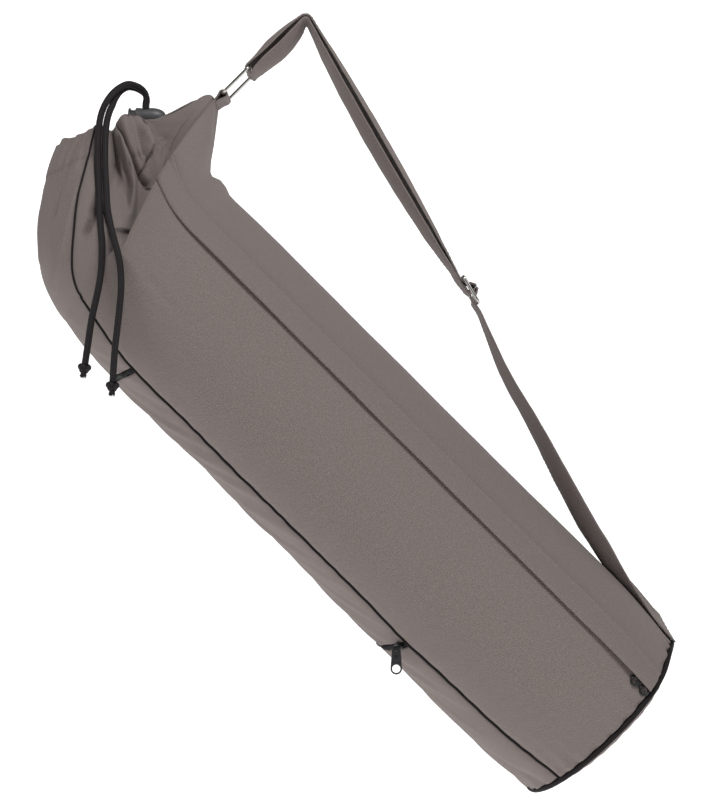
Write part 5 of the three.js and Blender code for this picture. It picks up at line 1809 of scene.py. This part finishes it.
@dataclass(frozen=True)
class CordLock:
    """Bullet-shaped cord lock on its side, with a sprung button at its left end."""

    finishes: Finishes
    from_mouth: tuple[float, float, float] = (9.2, -8, 123.1)
    radius: float = 9.0
    length: float = 27.0
    wall: float = 1.6
    travel: float = 4.0
    gap: float = 0.3
    cord: float = 2.9
    hole_shift: float = -4.5

    def turned(self, rows: Sequence[tuple[float, float]], cut: float, shift: float) -> bmesh.types.BMesh:
        """Turn a profile of (radius, at) rows along X, cut the cords' passage and put it in place."""
        body = turned_mesh([(radius * MM, at * MM) for radius, at in rows], 40)
        bmesh.ops.rotate(body, verts=body.verts, cent=(0, 0, 0), matrix=Matrix.Rotation(math.pi / 2, 3, "Y"))
        across = 4 * self.cord + 3 * self.gap
        box = bmesh.new()
        bmesh.ops.create_cube(box, size=1.0)
        bmesh.ops.scale(box, verts=box.verts, vec=Vector((cut, across, 4 * self.radius)) * MM)
        edges = [e for e in box.edges if abs(e.verts[0].co.z - e.verts[1].co.z) > self.radius * MM]
        bmesh.ops.bevel(
            box, geom=edges, offset=2.2 * MM, segments=4, profile=0.5, affect="EDGES", material=-1
        )
        bmesh.ops.translate(box, verts=box.verts, vec=Vector((shift, 0, 0)) * MM)
        bmesh.ops.recalc_face_normals(body, faces=body.faces)
        cutaway = cut_mesh(body, box)
        place = in_scene(Vector((0, 0, BAG.length))) + Vector(self.from_mouth) * MM
        bmesh.ops.translate(cutaway, verts=cutaway.verts, vec=place)
        return cutaway

    def build(self) -> None:
        """Make the barrel and the button."""
        half = self.length / 2
        bore = self.radius - self.wall
        along_hole = 2 * self.cord + 2 * self.gap
        barrel = [(0, half), (2.6, half - 0.1), (4.4, half - 0.9), (6.0, half - 2.2), (7.2, half - 4.0)]
        barrel += [(8.2, half - 6.6), (8.8, half - 9.4), (9.0, half - 12), (9.0, -half + 6.4)]
        barrel += [(8.7, -half + 6.0), (8.7, -half + 5.2), (9.0, -half + 4.8), (9.0, -half + 0.7)]
        barrel += [(8.6, -half + 0.2), (8.3, -half)]
        barrel += [(bore, -half), (bore, half - 9), (0, half - 9)]
        body = self.turned(barrel, along_hole, self.hole_shift)
        shell = Dress(self.finishes.nylon, Slot.LOCK, nodes=("cord_lock_barrel",), rounding=0.25 * MM)
        add_piece("lock_barrel_shell", body, shell)
        plunger = bore - self.gap
        play = self.travel + self.gap
        button = [(0, half - 9 - play), (plunger, half - 9 - play), (plunger, -half - play)]
        button += [(8.4, -half - play), (9.0, -half - play - 0.6), (9.0, -half - play - 1.4)]
        button += [(8.2, -half - play - 2)]
        button += [(3.0, -half - play - 2), (0, -half - play - 1.6)]
        knob = self.turned(button, along_hole + play, self.hole_shift - play / 2)
        shell = Dress(self.finishes.nylon, Slot.LOCK, Body.BUTTON, ("cord_lock_button",), rounding=0.2 * MM)
        add_piece("lock_button_shell", knob, shell)


def cut_mesh(body: bmesh.types.BMesh, cutter: bmesh.types.BMesh) -> bmesh.types.BMesh:
    """Cut one closed mesh out of another and free both."""
    objects = []
    for name, bm in (("body", body), ("cutter", cutter)):
        data = bpy.data.meshes.new(name)
        bm.to_mesh(data)
        bm.free()
        made = bpy.data.objects.new(name, data)
        bpy.context.scene.collection.objects.link(made)
        objects.append(made)
    cut = objects[0].modifiers.new("cut", "BOOLEAN")
    cut.operation = "DIFFERENCE"
    cut.solver = "EXACT"
    cut.object = objects[1]
    graph = bpy.context.evaluated_depsgraph_get()
    result = bmesh.new()
    result.from_mesh(objects[0].evaluated_get(graph).to_mesh())
    for made in objects:
        bpy.data.objects.remove(made)
    return result


@dataclass(frozen=True)
class Drawcords:
    """The two ends of the drawcord: up out of the lock, over, and down the front to their knots."""

    finishes: Finishes
    radius: float = 2.9
    left: tuple = LEFT_ROUTE
    right: tuple = RIGHT_ROUTE

    def build(self) -> None:
        """Make both cords, their knots and their frayed ends."""
        for name, route in (("left", self.left), ("right", self.right)):
            mouth = in_scene(Vector((0, 0, BAG.length)))
            points = [mouth + Vector(point) * MM for point in route]
            line = spline(points, 2.5 * MM)
            cord = sweep_mesh(line, even(self.radius), 14)
            dress = Dress(self.finishes.cord, Slot.CORD, nodes=(f"cord_{name}",))
            piece = add_piece(f"drawcord_{name}", cord, dress)
            knot = self.knot(name, line[-1], (line[-1] - line[-4]).normalized())

    def knot(self, name: str, end: Vector, ahead: Vector) -> bpy.types.Object:
        """Make the overhand knot at a cord's end, with its frayed tail.

        Args:
            name: Which cord.
            end: Where the cord ends.
            ahead: The direction in which it ends.

        Returns:
            The piece.
        """
        centre = end + ahead * 3.6 * MM
        spin = Vector((0, 0, -1)).rotation_difference(ahead)
        loops = []
        for i in range(90):
            t = 2 * math.pi * i / 90
            x = math.sin(t) + 2 * math.sin(2 * t)
            y = math.cos(t) - 2 * math.cos(2 * t)
            loops.append(centre + spin @ (Vector((x * 1.35, -math.sin(3 * t) * 2.0, y * 0.85)) * MM))
        wound = sweep_mesh(loops, even(2.3), 10, closed=True)
        core = bmesh.new()
        bmesh.ops.create_icosphere(core, subdivisions=2, radius=2.8 * MM, matrix=Matrix.Translation(centre))
        tail = [centre + ahead * k * MM for k in (2.0, 4.0, 5.6, 6.6)]
        stub = sweep_mesh(tail, lambda share, turn: lerp(2.2, 2.9, share) * MM, 12)
        strands = []
        for i in range(26):
            angle = 2.399 * i
            spread = math.sqrt((i + 0.5) / 26)
            side = spin @ Vector((math.cos(angle), math.sin(angle), 0))
            root = centre + ahead * 6.0 * MM + side * 2.3 * spread * MM
            splay = side * (0.7 + 0.5 * math.cos(i * 2.3)) * MM
            tip = root + ahead * (1.9 + 0.8 * math.sin(i * 1.7)) * MM + splay
            strand = [root, root.lerp(tip, 0.5), tip]
            strands.append(sweep_mesh(strand, lambda share, turn: lerp(0.34, 0.2, share) * MM, 5))
        whole = join_meshes([wound, core, stub, *strands])
        dress = Dress(self.finishes.cord, Slot.CORD, nodes=(f"cord_{name}_knot",))
        return add_piece(f"drawcord_knot_{name}", whole, dress)


@dataclass(frozen=True)
class Studio:
    """Pale floor and backdrop, soft light, and the camera at the photograph's angle."""

    camera_at: tuple[float, float, float] = (0.0441, -1.5, -0.3399)
    frame_height: float = 0.72
    sensor: float = 24.0
    floor_at: float = -0.9
    lights: tuple = (
        ("key", (0.5, -1.2, 1.7), 0.8, 33.0),
        ("left", (-2.0, -1.1, 0.5), 1.2, 9.0),
        ("right", (1.6, -1.0, 1.0), 1.0, 8.0),
    )

    def camera(self) -> None:
        """Aim the camera level along +Y, with the photograph's frame in view at the bag's distance."""
        data = bpy.data.cameras.new("camera")
        data.sensor_fit = "VERTICAL"
        data.sensor_height = self.sensor
        data.lens = self.sensor * -self.camera_at[1] / self.frame_height
        data.clip_end = 30.0
        eye = bpy.data.objects.new("camera", data)
        eye.location = self.camera_at
        eye.rotation_euler = (math.pi / 2, 0, 0)
        bpy.context.scene.collection.objects.link(eye)
        bpy.context.scene.camera = eye

    def stage(self) -> None:
        """Make a seamless pale floor and backdrop."""
        bm = bmesh.new()
        bmesh.ops.create_grid(bm, x_segments=2, y_segments=40, size=1.0)
        for vert in bm.verts:
            run = (vert.co.y + 1) / 2 * 9.0 - 3.0
            bend = clamp((run - 2.0) / (1.5 * math.pi / 2)) * math.pi / 2
            ahead = min(run, 2.0) + 1.5 * math.sin(bend)
            rise = 1.5 * (1 - math.cos(bend)) + max(0.0, run - 2.0 - 1.5 * math.pi / 2)
            vert.co = Vector((vert.co.x * 7, ahead, self.floor_at + rise))
        for face in bm.faces:
            face.smooth = True
        data = bpy.data.meshes.new("backdrop")
        bm.to_mesh(data)
        bm.free()
        material, tree, shader = new_material("white paper backdrop")
        shader.inputs["Base Color"].default_value = linear("#f4f4f4")
        shader.inputs["Roughness"].default_value = 1.0
        shader.inputs["Emission Color"].default_value = linear("#ffffff")
        shader.inputs["Emission Strength"].default_value = 0.75
        data.materials.append(material)
        backdrop = bpy.data.objects.new("backdrop", data)
        bpy.context.scene.collection.objects.link(backdrop)

    def light(self) -> None:
        """Place the soft lights and a pale surround."""
        aim = Vector((0.05, 0, -0.35))
        for name, at, size, power in self.lights:
            data = bpy.data.lights.new(name, "AREA")
            data.shape = "DISK"
            data.size = size
            data.energy = power
            lamp = bpy.data.objects.new(name, data)
            lamp.location = at
            lamp.rotation_euler = (aim - Vector(at)).to_track_quat("-Z", "Y").to_euler()
            bpy.context.scene.collection.objects.link(lamp)
        world = bpy.data.worlds.new("pale surround")
        world.use_nodes = True
        world.node_tree.nodes["Background"].inputs["Color"].default_value = (1, 1, 1, 1)
        world.node_tree.nodes["Background"].inputs["Strength"].default_value = 0.1
        bpy.context.scene.world = world
        bpy.context.scene.view_settings.view_transform = "Standard"


def main() -> None:
    """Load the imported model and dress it."""
    logging.basicConfig(level=logging.INFO, format="%(message)s")
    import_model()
    studio = Studio()
    studio.camera()
    finishes = Finishes()
    Drawcords(finishes).build()
    tube = TubeCloth(finishes)
    tube.panels()
    tube.flap()
    tube.stitches()
    tube.base()
    trims = Trims(finishes, tube)
    trims.seam_cords()
    trims.zips()
    trims.ring_pulls()
    PocketSlider(finishes, tube).build()
    strap = Strap(finishes)
    strap.build()
    strap.metal()
    CordLock(finishes).build()
    studio.stage()
    studio.light()


if __name__ == "__main__":
    main()
